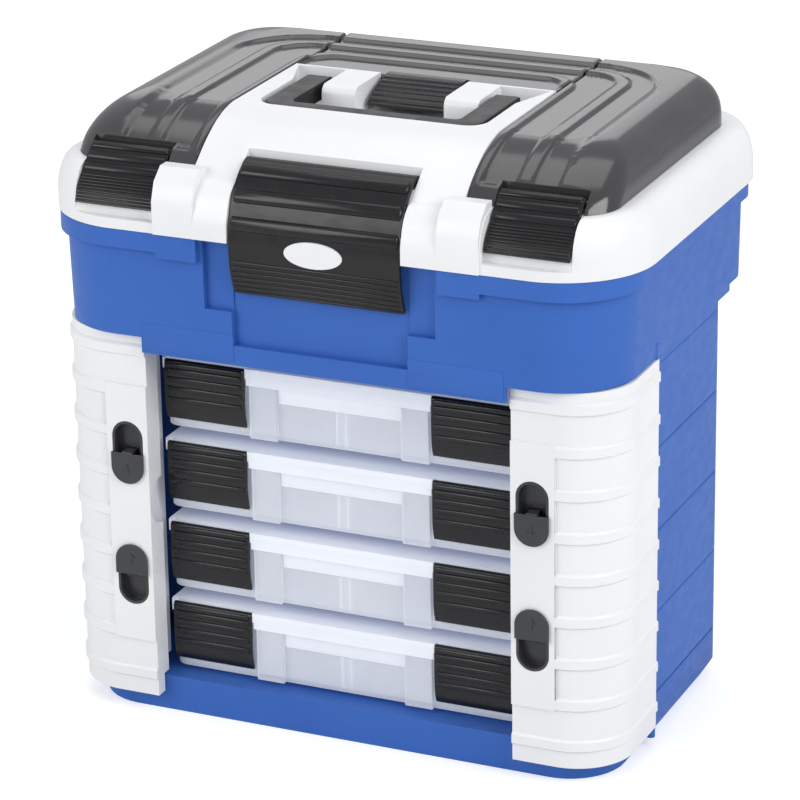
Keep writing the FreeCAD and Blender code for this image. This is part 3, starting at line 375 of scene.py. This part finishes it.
def rounded_run(points):
    """Smooth line through a few points."""
    steps = 6
    run = []
    ends = [points[0]] + points + [points[-1]]
    for four in zip(ends, ends[1:], ends[2:], ends[3:]):
        run += [smooth_between(*four, k / steps) for k in range(steps)]
    return run + [points[-1]]


def outside_line(node, x, sweep):
    """Line over a piece's outer face at one X, found by looking inwards from in front of it."""
    reach = 4 * MM
    run = rounded_run([Vector((x, y, z)) * MM for y, z in sweep])
    mesh = cad[node].data
    skin = BVHTree.FromPolygons([v.co for v in mesh.vertices], [p.vertices for p in mesh.polygons])
    found = []
    for i, point in enumerate(run):
        ahead = run[min(i + 1, len(run) - 1)] - run[max(i - 1, 0)]
        away = Vector((0, ahead.z, -ahead.y)).normalized()
        place = skin.ray_cast(point + reach * away, -away, 2 * reach)[0]
        found.append(place or point)
    return found


def plain_copy(name, shaped):
    """Plain mesh of an object with its modifiers carried out."""
    now = bpy.context.evaluated_depsgraph_get()
    mesh = bpy.data.meshes.new_from_object(shaped.evaluated_get(now))
    mesh.name = name
    return mesh


def ribs_on(name, rows, skin):
    """Rows of ribs as one object. A row is the line it runs across, the number of ribs, the shares of
    the line at the first and the last, how they crowd, and a rib's length, half width and rise."""
    form = bmesh.new()
    for line, count, first, last, crowding, length, half_width, rise in rows:
        guide = bpy.data.meshes.new("rib_guide")
        guide.from_pydata(line, [(i, i + 1) for i in range(len(line) - 1)], [])
        carrier = bpy.data.objects.new("rib_guide", guide)
        bpy.context.scene.collection.objects.link(carrier)
        spread = carrier.modifiers.new("ribs", "NODES")
        spread.node_group = ribs_across_a_profile
        wanted = {"Ribs": count, "First": first, "Last": last, "Crowding": crowding, "Length": length,
                  "Half Width": half_width, "Rise": rise, "Finish": skin}
        for item in ribs_across_a_profile.interface.items_tree:
            if item.in_out == "INPUT" and item.name in wanted:
                spread[item.identifier] = wanted[item.name]
        made = plain_copy(name, carrier)
        form.from_mesh(made)
        bpy.data.objects.remove(carrier)
        bpy.data.meshes.remove(made)
    bmesh.ops.recalc_face_normals(form, faces=form.faces)
    piece = object_of(name, form, skin)
    piece.data.shade_smooth()
    return piece


black = moulded_plastic("black_satin_plastic", (0.009, 0.009, 0.010), (0.006, 0.006, 0.007),
                        gloss=(0.22, 0.32), grain=0.00003, grain_size=1900.0, scuffs=0.008, shine=0.42)
ribs_across_a_profile = rib_tree()
eased("front_latch", "front_latch_body", 0.5 * MM, black, "front_latch")
front_latch_sweep = ((-109.6, 411.2), (-114.0, 412.1), (-122.5, 408.2), (-134.2, 397.2), (-142.0, 380.0),
                     (-145.4, 360.5), (-144.2, 344.0), (-138.2, 325.0))
front_line = outside_line("front_latch", 0.0, front_latch_sweep)
front_ribs = ribs_on("front_latch_ribs", (
    (front_line, 3, 0.155, 0.51, 1.0, 121.6 * MM, 5.2 * MM, 2.3 * MM),
    (front_line, 10, 0.655, 0.985, 1.0, 121 * MM, 1.1 * MM, 0.85 * MM)), black)
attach(front_ribs, "front_latch")

# ---- bare oval plate ----------------------------------------------------------------------------
# White oval plate pressed into a pocket of the big latch, with a softly rounded rim and no mark.
eased("front_latch_plate", "bare_oval_plate", 0.3 * MM, white, "front_latch")

# ---- latches of the covers ----------------------------------------------------------------------
# Smaller black latches in the lid's pockets, one for each see-through cover. The two at the front
# have broad ribs above fine ones; the one in the handle's well has fine ribs alone.
cover_latch_x = 148.5
cover_latch_sweep = ((-107.2, 408.8), (-111.0, 409.6), (-117.8, 405.5), (-128.5, 394.0), (-137.2, 384.0),
                     (-141.0, 375.5))
rear_latch_sweep = ((47.9, 431.2), (43.4, 431.4), (31.9, 429.0), (19.9, 425.0), (8.9, 419.0))
for side, way in sides:
    latch = side + "_cover_latch"
    eased(latch, latch + "_body", 0.4 * MM, black, latch)
    line = outside_line(latch, way * cover_latch_x, cover_latch_sweep)
    ribs = ribs_on(latch + "_ribs", (
        (line, 3, 0.13, 0.47, 1.0, 58 * MM, 3.2 * MM, 1.5 * MM),
        (line, 9, 0.60, 0.96, 1.0, 58 * MM, 0.85 * MM, 0.75 * MM)), black)
    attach(ribs, latch)
eased("rear_cover_latch", "rear_cover_latch_body", 0.4 * MM, black, "rear_cover_latch")
rear_line = outside_line("rear_cover_latch", 0.0, rear_latch_sweep)
rear_ribs = ribs_on("rear_cover_latch_ribs", (
    (rear_line, 6, 0.25, 0.92, 1.0, 57.5 * MM, 1.5 * MM, 0.45 * MM),), black)
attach(rear_ribs, "rear_cover_latch")

# ---- handle -------------------------------------------------------------------------------------
# Carrying handle in black plastic, a bow whose two arms turn on pins in the lid's raised middle.
dull_black = moulded_plastic("black_handle_plastic", (0.009, 0.009, 0.010), (0.006, 0.006, 0.007),
                             gloss=(0.28, 0.4), grain=0.00004, scuffs=0.012, shine=0.15)
eased("handle", "handle_bow", 0.4 * MM, dull_black, "handle")

# ---- latches of the cases -----------------------------------------------------------------------
# Two black snap latches on the front of every case, hinged in the case's lid. Their upper half has
# steps that the thumb finds, closer together towards the hinge; the lower half is plain.
case_bottom = 29.6
case_pitch = 60.3
case_latch_x = 99.4
case_latch_length = 57.0
case_latch_y = -111.2
case_hinge_height = 47.4
# outer face from hinge to tip: how far ahead of the latch's own Y, how far below its hinge
case_latch_sweep = ((-1.2, -2.0), (1.6, -1.8), (2.9, 3.0), (3.2, 20.0), (2.2, 34.0), (0.2, 40.5))
for case in levels:
    hinge_z = case_bottom + (case - 1) * case_pitch + case_hinge_height
    sweep = [(case_latch_y - ahead, hinge_z - below) for ahead, below in case_latch_sweep]
    for side, way in sides:
        latch = "case_%d_%s_latch" % (case, side)
        eased(latch, latch + "_body", 0.3 * MM, black, latch)
        line = outside_line(latch, way * case_latch_x, sweep)
        ribs = ribs_on(latch + "_steps", (
            (line, 5, 0.13, 0.67, 1.28, case_latch_length * MM, 2.1 * MM, 1.15 * MM),), black)
        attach(ribs, latch)

# ---- side covers --------------------------------------------------------------------------------
# Smoked see-through domes over the lid's side compartments, moulded 2.4 mm thick. Raised bands run
# up the front, over the top and round the rear corner. Two eyes at the back hold the hinge pin.


def clear_moulding(name, body, deeper, alpha, gloss, rim=1.0, painted_glow=0.0, shine=0.5):
    """See-through moulding: it hides more where it is looked at along its wall, and flows show in it. A
    faint painted glow stands in for light scattered inside the wall.
    """
    skin = bpy.data.materials.new(name)
    skin.use_nodes = True
    tree = skin.node_tree
    add, link = tree.nodes.new, tree.links.new
    shade = tree.nodes["Principled BSDF"]
    shade.inputs["Specular IOR Level"].default_value = shine
    # painted glow: a faint bluish emission that brightens the plastic's shaded parts in place of light
    # scattered inside it
    shade.inputs["Emission Color"].default_value = (0.82, 0.87, 1.0, 1)
    shade.inputs["Emission Strength"].default_value = painted_glow
    slant = add("ShaderNodeLayerWeight")
    slant.inputs["Blend"].default_value = 0.35
    veil = add("ShaderNodeMapRange")
    veil.inputs["To Min"].default_value = alpha
    veil.inputs["To Max"].default_value = rim
    link(slant.outputs["Facing"], veil.inputs["Value"])
    link(veil.outputs["Result"], shade.inputs["Alpha"])
    place = add("ShaderNodeTexCoord")
    flow = add("ShaderNodeTexNoise")
    flow.inputs["Scale"].default_value = 14.0
    flow.inputs["Detail"].default_value = 5.0
    tint = add("ShaderNodeValToRGB")
    tint.color_ramp.elements[0].position = 0.3
    tint.color_ramp.elements[0].color = (*deeper, 1)
    tint.color_ramp.elements[1].position = 0.7
    tint.color_ramp.elements[1].color = (*body, 1)
    haze = add("ShaderNodeMapRange")
    haze.inputs["To Min"].default_value = gloss[0]
    haze.inputs["To Max"].default_value = gloss[1]
    ripple = add("ShaderNodeTexNoise")
    ripple.inputs["Scale"].default_value = 55.0
    relief = add("ShaderNodeBump")
    relief.inputs["Strength"].default_value = 0.2
    relief.inputs["Distance"].default_value = 0.0002
    link(place.outputs["Object"], flow.inputs["Vector"])
    link(place.outputs["Object"], ripple.inputs["Vector"])
    link(flow.outputs["Fac"], tint.inputs["Fac"])
    link(flow.outputs["Fac"], haze.inputs["Value"])
    link(ripple.outputs["Fac"], relief.inputs["Height"])
    link(tint.outputs["Color"], shade.inputs["Base Color"])
    link(haze.outputs["Result"], shade.inputs["Roughness"])
    link(relief.outputs["Normal"], shade.inputs["Normal"])
    return skin


cover_inner, cover_outer = 98.5, 195.0
cover_front, cover_back = -120.0, 131.0
cover_foot, cover_top = 400.3, 432.0
cover_wall = 2.4
cover_shoulder = 40.0
cover_recess = 2.1
cover_corner_inner = 2.0
cover_corner_rear, cover_rear_taper = 34.0, 14.0
cover_back_lean = 4.0
wall_lean = 0.7
ledge_height, ledge_ease = 411.0, 2.5
inner_edge_round = 1.6
inner_edge_from, inner_edge_ease = 424.0, 6.0
merge_within = 0.6
# share of the height, share of the shoulder's width left, distance behind the front, front corner
cover_levels = ((0.0, 1.0, 0.0, 28.0), (0.25, 0.989, 6.0, 28.5), (0.4375, 0.954, 13.5, 29.0),
                (0.594, 0.892, 21.2, 29.0), (0.734, 0.796, 30.0, 28.0), (0.844, 0.673, 39.0, 27.0),
                (0.922, 0.529, 47.5, 25.0), (0.975, 0.347, 55.5, 23.0), (1.0, 0.0, 64.0, 20.0))
# each band's straight run at X, the Y where its corner starts, the corner's radius, half its width
cover_bands = ((100.0, 51.0, 24.0, 6.0), (133.5, 68.0, 29.0, 6.5), (162.5, 62.0, 57.0, 6.5))
band_flat = 0.55


def eased_step(t):
    """0 up to 0, 1 from 1 on, and a soft rise between them."""
    t = min(max(t, 0.0), 1.0)
    return t * t * (3 - 2 * t)


def rounded_drop(away, radius):
    """How far a rounded edge falls, this far inside it."""
    t = min(max(away / radius, 0.0), 1.0)
    return radius * (1 - math.sqrt(1 - (1 - t) ** 2))


def band_share(x, y):
    """1 on top of a raised band and outside the outermost, 0 between them."""
    share = 0.0
    outermost = cover_bands[-1]
    for band in cover_bands:
        straight, corner_y, radius, half = band
        corner_x = straight - radius
        if y <= corner_y:
            away = x - straight
        elif x >= corner_x:
            away = math.hypot(x - corner_x, y - corner_y) - radius
        else:
            away = y - corner_y - radius
        away = -min(away, 0.0) if band is outermost else abs(away)
        share = max(share, 1 - eased_step((away / half - band_flat) / (1 - band_flat)))
    return share


def sunk(x, y, z):
    """Height of a cover's face once the fields between the bands are let in."""
    return z - cover_recess * eased_step((z - ledge_height) / ledge_ease) * (1 - band_share(x, y))


def cover_ring(x0, x1, y0, y1, corners, z):
    """Closed row of points round a rounded oblong, the same number at every level."""
    # each corner, the way in from it, the angle that its arc starts at and the arc's steps
    turns = ((x0, y0, 1, 1, 180, 2), (x1, y0, -1, 1, 270, 12),
             (x1, y1, -1, -1, 0, 12), (x0, y1, 1, -1, 90, 2))
    steps_across, steps_along = 56, 84
    arcs = []
    for (x, y, sx, sy, start, steps), radius in zip(turns, corners):
        angles = [math.radians(start + 90 * k / steps) for k in range(steps + 1)]
        arcs.append([(x + radius * (sx + math.cos(a)), y + radius * (sy + math.sin(a))) for a in angles])
    points = []
    for arc, following, run in zip(arcs, arcs[1:] + arcs[:1], (steps_across, steps_along) * 2):
        (ax, ay), (bx, by) = arc[-1], following[0]
        points += arc + [(ax + (bx - ax) * k / run, ay + (by - ay) * k / run) for k in range(1, run)]
    return [(px, py, z) for px, py in points]


def dome_rings(inset, level_steps, top_steps):
    """Rings of one face of the dome, from its foot to the line where the top closes."""
    rings = []
    last = len(cover_levels) - 1
    for step in range(last * level_steps + 1):
        u = step / level_steps
        i = min(int(u), last - 1)
        nearby = [cover_levels[min(max(i + k, 0), last)] for k in (-1, 0, 1, 2)]
        flat, share, back_step, corner = (smooth_between(*four, u - i) for four in zip(*nearby))
        aside = inset * (1 - wall_lean * flat)
        z = cover_foot + flat * (cover_top - cover_foot) - inset * flat
        rear = cover_corner_rear - cover_rear_taper * flat ** 2
        rings.append(cover_ring(
            cover_inner + inset, cover_outer - cover_shoulder * (1 - share) - aside,
            cover_front + back_step + aside, cover_back - inset - cover_back_lean * flat ** 4,
            (cover_corner_inner, corner - aside, rear - aside, cover_corner_inner), z))
    top_step, top_corner = cover_levels[-1][2:]
    aside = inset * (1 - wall_lean)
    x0, x1 = cover_inner + inset, cover_outer - cover_shoulder - aside
    y0, y1 = cover_front + top_step + aside, cover_back - inset - cover_back_lean
    radii = (cover_corner_inner, top_corner, top_corner, cover_corner_inner)
    least_half, least_corner = 0.2, 0.3
    for k in range(1, top_steps + 1):
        let_in = ((x1 - x0) / 2 - least_half) * k / top_steps
        rings.append(cover_ring(x0 + let_in, x1 - let_in, y0 + let_in, y1 - let_in,
                                [max(r - let_in, least_corner) for r in radii], cover_top - inset))
    placed = []
    for ring in rings:
        row = []
        for x, y, z in ring:
            share = eased_step((z + inset - inner_edge_from) / inner_edge_ease)
            drop = rounded_drop(x - cover_inner - inset, inner_edge_round) * share
            row.append(Vector((x, y, sunk(x, y, z) - drop)) * MM)
        placed.append(row)
    return placed


def ringed_skin(form, rings, outwards):
    """Faces between rows of points, closed along the last row; returns the first row's vertices."""
    rows = [[form.verts.new(p) for p in ring] for ring in rings]
    for low, high in zip(rows, rows[1:]):
        for k in range(len(low)):
            quad = (low[k], low[(k + 1) % len(low)], high[(k + 1) % len(low)], high[k])
            form.faces.new(quad if outwards else quad[::-1])
    bmesh.ops.remove_doubles(form, verts=rows[-1], dist=merge_within * MM)
    return rows[0]


def carved(piece, *steps):
    """A piece joined with, cut by or kept inside others; the others are used up."""
    for operation, other in steps:
        cut = piece.modifiers.new("carve", "BOOLEAN")
        cut.operation = operation
        cut.object = other
        cut.solver = "EXACT"
    mesh = plain_copy(piece.name, piece)
    old = piece.data
    piece.modifiers.clear()
    piece.data = mesh
    bpy.data.meshes.remove(old)
    for _, other in steps:
        bpy.data.objects.remove(other)
    return piece


def hinge_eye(form, x0, x1, y, z, radius, bore, arm_from):
    """One eye of a hinge with its arm, a ring round the pin."""
    steps = 28
    below_pin = 0.3
    rows = []
    for x, r in ((x0, bore), (x0, radius), (x1, radius), (x1, bore)):
        ring = [(x, y + r * math.cos(math.tau * k / steps), z + r * math.sin(math.tau * k / steps))
                for k in range(steps)]
        rows.append([form.verts.new(Vector(point) * MM) for point in ring])
    for a, b in zip(rows, rows[1:] + rows[:1]):
        for k in range(steps):
            form.faces.new((a[k], b[k], b[(k + 1) % steps], a[(k + 1) % steps]))
    box_into(form, x0, x1, arm_from, y - bore - below_pin, z - radius, z + radius)


def finished(piece, node, body):
    """Merges what the cuts left double, shades the piece and lets it stand for its node."""
    weld, sharp_from = 0.01 * MM, math.radians(42)
    form = bmesh.new()
    form.from_mesh(piece.data)
    bmesh.ops.remove_doubles(form, verts=form.verts, dist=weld)
    form.to_mesh(piece.data)
    form.free()
    piece.data.shade_smooth()
    piece.data.set_sharp_from_angle(angle=sharp_from)
    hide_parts(node)
    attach(piece, body)


smoked = clear_moulding("smoked_styrene", (0.050, 0.049, 0.051), (0.034, 0.033, 0.035), 0.93, (0.10, 0.20),
                        shine=0.8)
cover_axis_y, cover_axis_z = 134.6, 404.6
eye_radius, eye_bore, eye_width = 2.8, 1.38, 8.0
eye_inset = 14.4
eye_arm_root = 1.5
hinge_half = 34.0
notch_half = 30.5
notch_inner, notch_outer = cover_latch_x - notch_half, cover_latch_x + notch_half
notch_back = -104.6
# how far the boxes that cut a notch reach past the moulding
cut_past = 3.0
middle = (cover_inner + cover_outer) / 2
for side, way in sides:
    form = bmesh.new()
    outside = ringed_skin(form, dome_rings(0.0, 4, 20), True)
    inside = ringed_skin(form, dome_rings(cover_wall, 2, 14), False)
    count = len(outside)
    for k in range(count):
        n = (k + 1) % count
        form.faces.new((inside[k], inside[n], outside[n], outside[k]))
    shell = object_of(side + "_cover_dome", form, smoked)
    form = bmesh.new()
    form.faces.new(ringed_skin(form, dome_rings(0.0, 2, 14), True)[::-1])
    solid = object_of("dome_solid", form, smoked)
    form = bmesh.new()
    box_into(form, notch_inner - cover_wall, notch_outer + cover_wall,
             cover_front - cut_past, notch_back + cover_wall, cover_foot, cover_top)
    liner = carved(object_of("notch_liner", form, smoked), ("INTERSECT", solid))
    form = bmesh.new()
    box_into(form, notch_inner, notch_outer, cover_front - cut_past, notch_back,
             cover_foot - cut_past, cover_top + cut_past)
    notch = object_of("notch", form, smoked)
    carved(shell, ("UNION", liner), ("DIFFERENCE", notch))
    form = bmesh.new()
    form.from_mesh(shell.data)
    for x in (middle - hinge_half + eye_inset, middle + hinge_half - eye_inset - eye_width):
        hinge_eye(form, x, x + eye_width, cover_axis_y, cover_axis_z, eye_radius, eye_bore,
                  cover_back - eye_arm_root)
    if way < 0:
        for vert in form.verts:
            vert.co.x = -vert.co.x
        bmesh.ops.reverse_faces(form, faces=form.faces)
    form.to_mesh(shell.data)
    form.free()
    finished(shell, side + "_cover", side + "_cover")

# ---- rear cover ---------------------------------------------------------------------------------
# Smoked cover of the compartment behind the handle, with the same wall and the bands of the side
# covers carried across it. Its front edge is notched for the latch, which folds into the well.
rear_half = 97.2
rear_front = 41.5
rear_round, rear_edge_round = 4.0, 1.0
rear_columns, rear_rows = 130, 66


def rear_face(inset, height):
    """Grid of points over the rear cover, rounded down at its back and eased at its other edges."""
    grid = []
    for j in range(rear_rows + 1):
        y = rear_front + inset + (cover_back - rear_front - 2 * inset) * j / rear_rows
        row = []
        for i in range(rear_columns + 1):
            x = -(rear_half - inset) + 2 * (rear_half - inset) * i / rear_columns
            z = height - cover_recess * (1 - band_share(abs(x), y))
            z -= rounded_drop(cover_back - inset - y, rear_round)
            z -= rounded_drop(rear_half - inset - abs(x), rear_edge_round)
            z -= rounded_drop(y - rear_front - inset, rear_edge_round)
            row.append(Vector((x, y, z)) * MM)
        grid.append(row)
    return grid


def rim_of(grid):
    """The grid's border, once round."""
    border = list(grid[0]) + [row[-1] for row in grid[1:]] + list(grid[-1][-2::-1])
    return border + [row[0] for row in grid[-2:0:-1]]


form = bmesh.new()
rims = []
for inset, height, outwards in ((0.0, cover_top, True), (cover_wall, cover_top - cover_wall, False)):
    grid = [[form.verts.new(p) for p in row] for row in rear_face(inset, height)]
    for low, high in zip(grid, grid[1:]):
        for i in range(rear_columns):
            quad = (low[i], low[i + 1], high[i + 1], high[i])
            form.faces.new(quad if outwards else quad[::-1])
    border = rim_of(grid)
    foot = [form.verts.new((v.co.x, v.co.y, cover_foot * MM)) for v in border]
    for k in range(len(border)):
        n = (k + 1) % len(border)
        quad = (foot[k], foot[n], border[n], border[k])
        form.faces.new(quad if outwards else quad[::-1])
    rims.append(foot)
for k in range(len(rims[0])):
    n = (k + 1) % len(rims[0])
    form.faces.new((rims[1][k], rims[1][n], rims[0][n], rims[0][k]))
rear = object_of("rear_cover_dome", form, smoked)
rear_notch_back, rear_notch_floor = 50.5, 422.4
liner_front, liner_top = rear_front + 0.5, cover_top - cover_recess - 0.6
rear_hinge_half = 70.0
form = bmesh.new()
box_into(form, -notch_half - cover_wall, notch_half + cover_wall,
         liner_front, rear_notch_back + cover_wall, rear_notch_floor - cover_wall, liner_top)
liner = object_of("notch_liner", form, smoked)
form = bmesh.new()
box_into(form, -notch_half, notch_half, rear_front - cut_past, rear_notch_back,
         rear_notch_floor, cover_top + cut_past)
notch = object_of("notch", form, smoked)
carved(rear, ("UNION", liner), ("DIFFERENCE", notch))
form = bmesh.new()
form.from_mesh(rear.data)
for x in (eye_inset - rear_hinge_half, rear_hinge_half - eye_inset - eye_width):
    hinge_eye(form, x, x + eye_width, cover_axis_y, cover_axis_z, eye_radius, eye_bore,
              cover_back - eye_arm_root)
form.to_mesh(rear.data)
form.free()
finished(rear, "rear_cover", "rear_cover")

# ---- door buttons -------------------------------------------------------------------------------
# Four grey buttons that draw the doors' bolts: an oval cup pressed into the door, and a tongue over
# half of it that slides towards the other half's end. A small raised arrow shows each one's way.
grey = moulded_plastic("grey_satin_plastic", (0.040, 0.041, 0.043), (0.030, 0.031, 0.033),
                       gloss=(0.30, 0.42), grain=0.00004, scuffs=0.03)
button_x = 149.5
tongue_front = -136.6
arrow_rise, arrow_root = 0.5, 0.3
arrow_away = 12.5
# each button's place in the door, its height and the way that its tongue travels
buttons = (("lower", 105.2, 1), ("upper", 196.65, -1))
arrow_outline = ((-0.8, -4.0), (0.8, -4.0), (0.8, 0.6), (2.9, 0.6), (0.0, 4.2), (-2.9, 0.6), (-0.8, 0.6))
for side, way in sides:
    for place, height, travel in buttons:
        node = "%s_door_%s_" % (side, place)
        eased(node + "cup", node + "cup_moulding", 0.3 * MM, grey, side + "_door")
        eased(node + "slider", node + "slider_tongue", 0.6 * MM, grey, node + "slider")
        form = bmesh.new()
        arrow_z = height + travel * arrow_away
        outline = [(way * button_x + travel * x, arrow_z + travel * z) for x, z in arrow_outline]
        top, root = [[form.verts.new(Vector((x, y, z)) * MM) for x, z in outline]
                     for y in (tongue_front - arrow_rise, tongue_front + arrow_root)]
        form.faces.new(top)
        form.faces.new(root[::-1])
        for k in range(len(arrow_outline)):
            n = (k + 1) % len(arrow_outline)
            form.faces.new((top[n], top[k], root[k], root[n]))
        bmesh.ops.recalc_face_normals(form, faces=form.faces)
        arrow = object_of(node + "arrow", form, grey)
        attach(arrow, node + "slider")

# ---- cases --------------------------------------------------------------------------------------
# Four flat lidded cases of frosted see-through polypropylene, thin-walled, with loose dividers
# inside. The tray's front has two pillars, a raised label field and ribs that hold a divider's end.
# both frosted finishes carry a painted glow, stronger on the lids, that lifts the cases' shaded parts as
# scattered light would
frosted_thin = clear_moulding("frosted_tray_wall", (0.90, 0.925, 0.97), (0.84, 0.87, 0.925), 0.36,
                              (0.18, 0.3), rim=0.95, painted_glow=0.06)
frosted = clear_moulding("frosted_thick_wall", (0.94, 0.955, 0.985), (0.89, 0.91, 0.95), 0.62,
                         (0.18, 0.3), rim=0.97, painted_glow=0.13)
case_front = -108.6
label_half = 45.6
label_bottom, label_top = 27.2, 38.2
label_rise, label_root = 0.9, 0.4
guide_away, guide_half = 3.4, 0.7
guide_front, guide_back = 1.4, 4.8
guide_bottom = 1.8
for case in levels:
    floor_z = case_bottom + (case - 1) * case_pitch
    for name, radius, skin in (("tray", 0.5, frosted_thin), ("lid", 0.5, frosted),
                               ("dividers", 0.3, frosted_thin)):
        node = "case_%d_%s" % (case, name)
        eased(node, node + "_moulding", radius * MM, skin, "case_%d" % case)
    form = bmesh.new()
    box_into(form, -label_half, label_half, case_front - label_rise, case_front + label_root,
             floor_z + label_bottom, floor_z + label_top)
    for x in (-guide_away, guide_away):
        box_into(form, x - guide_half, x + guide_half, case_front + guide_front, case_front + guide_back,
                 floor_z + guide_bottom, floor_z + label_top)
    field = softened("case_%d_label_field" % case, form, 0.35 * MM, frosted)
    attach(field, "case_%d" % case)

# ---- floor, light and camera --------------------------------------------------------------------
# A flat sheet of pale paper under soft boxes: from the right for the side and the doors, from the front
# left, from behind for the covers' flat tops, and overhead. The long lens looks down from the right.


def studio_floor():
    """White paper that glows for the camera alone: it looks white and still shows shadows."""
    mesh = bpy.data.meshes.new("studio_floor")
    half = 6.0
    mesh.from_pydata([(-half, -half, 0), (half, -half, 0), (half, half, 0), (-half, half, 0)],
                     [], [(0, 1, 2, 3)])
    floor = bpy.data.objects.new("studio_floor", mesh)
    bpy.context.scene.collection.objects.link(floor)
    paper = bpy.data.materials.new("white_paper")
    paper.use_nodes = True
    tree = paper.node_tree
    add, link = tree.nodes.new, tree.links.new
    shade = tree.nodes["Principled BSDF"]
    shade.inputs["Base Color"].default_value = (0.80, 0.80, 0.80, 1)
    shade.inputs["Roughness"].default_value = 0.9
    shade.inputs["Emission Color"].default_value = (1, 1, 1, 1)
    seen = add("ShaderNodeLightPath")
    lift = add("ShaderNodeMath")
    lift.operation = "MULTIPLY"
    lift.inputs[1].default_value = 0.42
    link(seen.outputs["Is Camera Ray"], lift.inputs[0])
    link(lift.outputs[0], shade.inputs["Emission Strength"])
    mesh.materials.append(paper)


def studio_world():
    """Soft grey surroundings that light the part; plain white to the camera, also through plastic."""
    world = bpy.data.worlds.new("studio")
    bpy.context.scene.world = world
    world.use_nodes = True
    tree = world.node_tree
    add, link = tree.nodes.new, tree.links.new
    sky = tree.nodes["Background"]
    sky.inputs["Color"].default_value = (0.62, 0.63, 0.65, 1)
    sky.inputs["Strength"].default_value = 0.85
    white_wall = add("ShaderNodeBackground")
    white_wall.inputs["Color"].default_value = (1, 1, 1, 1)
    white_wall.inputs["Strength"].default_value = 1.0
    seen = add("ShaderNodeLightPath")
    either = add("ShaderNodeMath")
    either.operation = "MAXIMUM"
    choose = add("ShaderNodeMixShader")
    link(seen.outputs["Is Camera Ray"], either.inputs[0])
    link(seen.outputs["Is Transmission Ray"], either.inputs[1])
    link(either.outputs[0], choose.inputs["Fac"])
    link(sky.outputs[0], choose.inputs[1])
    link(white_wall.outputs[0], choose.inputs[2])
    link(choose.outputs[0], tree.nodes["World Output"].inputs["Surface"])


def softbox(name, where, target, size, power):
    """Oblong lamp, in metres and watts, that looks at a target."""
    lamp = bpy.data.lights.new(name, "AREA")
    lamp.shape = "RECTANGLE"
    lamp.size, lamp.size_y = size
    lamp.energy = power
    box = bpy.data.objects.new(name, lamp)
    bpy.context.scene.collection.objects.link(box)
    box.location = where
    box.rotation_mode = "QUATERNION"
    box.rotation_quaternion = (Vector(target) - Vector(where)).to_track_quat("-Z", "Y")


studio_floor()
studio_world()
softbox("key_softbox", (2.1, -0.7, 1.6), (0.0, 0.0, 0.25), (1.6, 1.6), 34.5)
softbox("front_softbox", (-1.5, -2.0, 1.3), (0.0, 0.0, 0.2), (1.6, 1.4), 26.0)
softbox("rear_softbox", (-1.15, 2.6, 1.45), (0.0, 0.0, 0.4), (1.8, 0.9), 5.0)
softbox("top_softbox", (-0.2, 0.5, 2.2), (0.0, 0.0, 0.4), (1.8, 1.2), 8.0)

lens = bpy.data.cameras.new("camera")
lens.lens = 168.831
lens.sensor_width = 36.0
lens.sensor_fit = "HORIZONTAL"
lens.clip_start, lens.clip_end = 0.1, 20.0
viewer = bpy.data.objects.new("camera", lens)
bpy.context.scene.collection.objects.link(viewer)
right_way = Vector((0.914812, 0.403594, -0.015206))
up_way = Vector((-0.130100, 0.330117, 0.934932))
back_way = Vector((0.382353, -0.853308, 0.354502))
turn = Matrix((right_way, up_way, back_way)).transposed().to_4x4()
viewer.matrix_world = Matrix.Translation((1.002152, -2.246047, 1.140700)) @ turn
bpy.context.scene.camera = viewer
bpy.context.scene.view_settings.view_transform = "Standard"
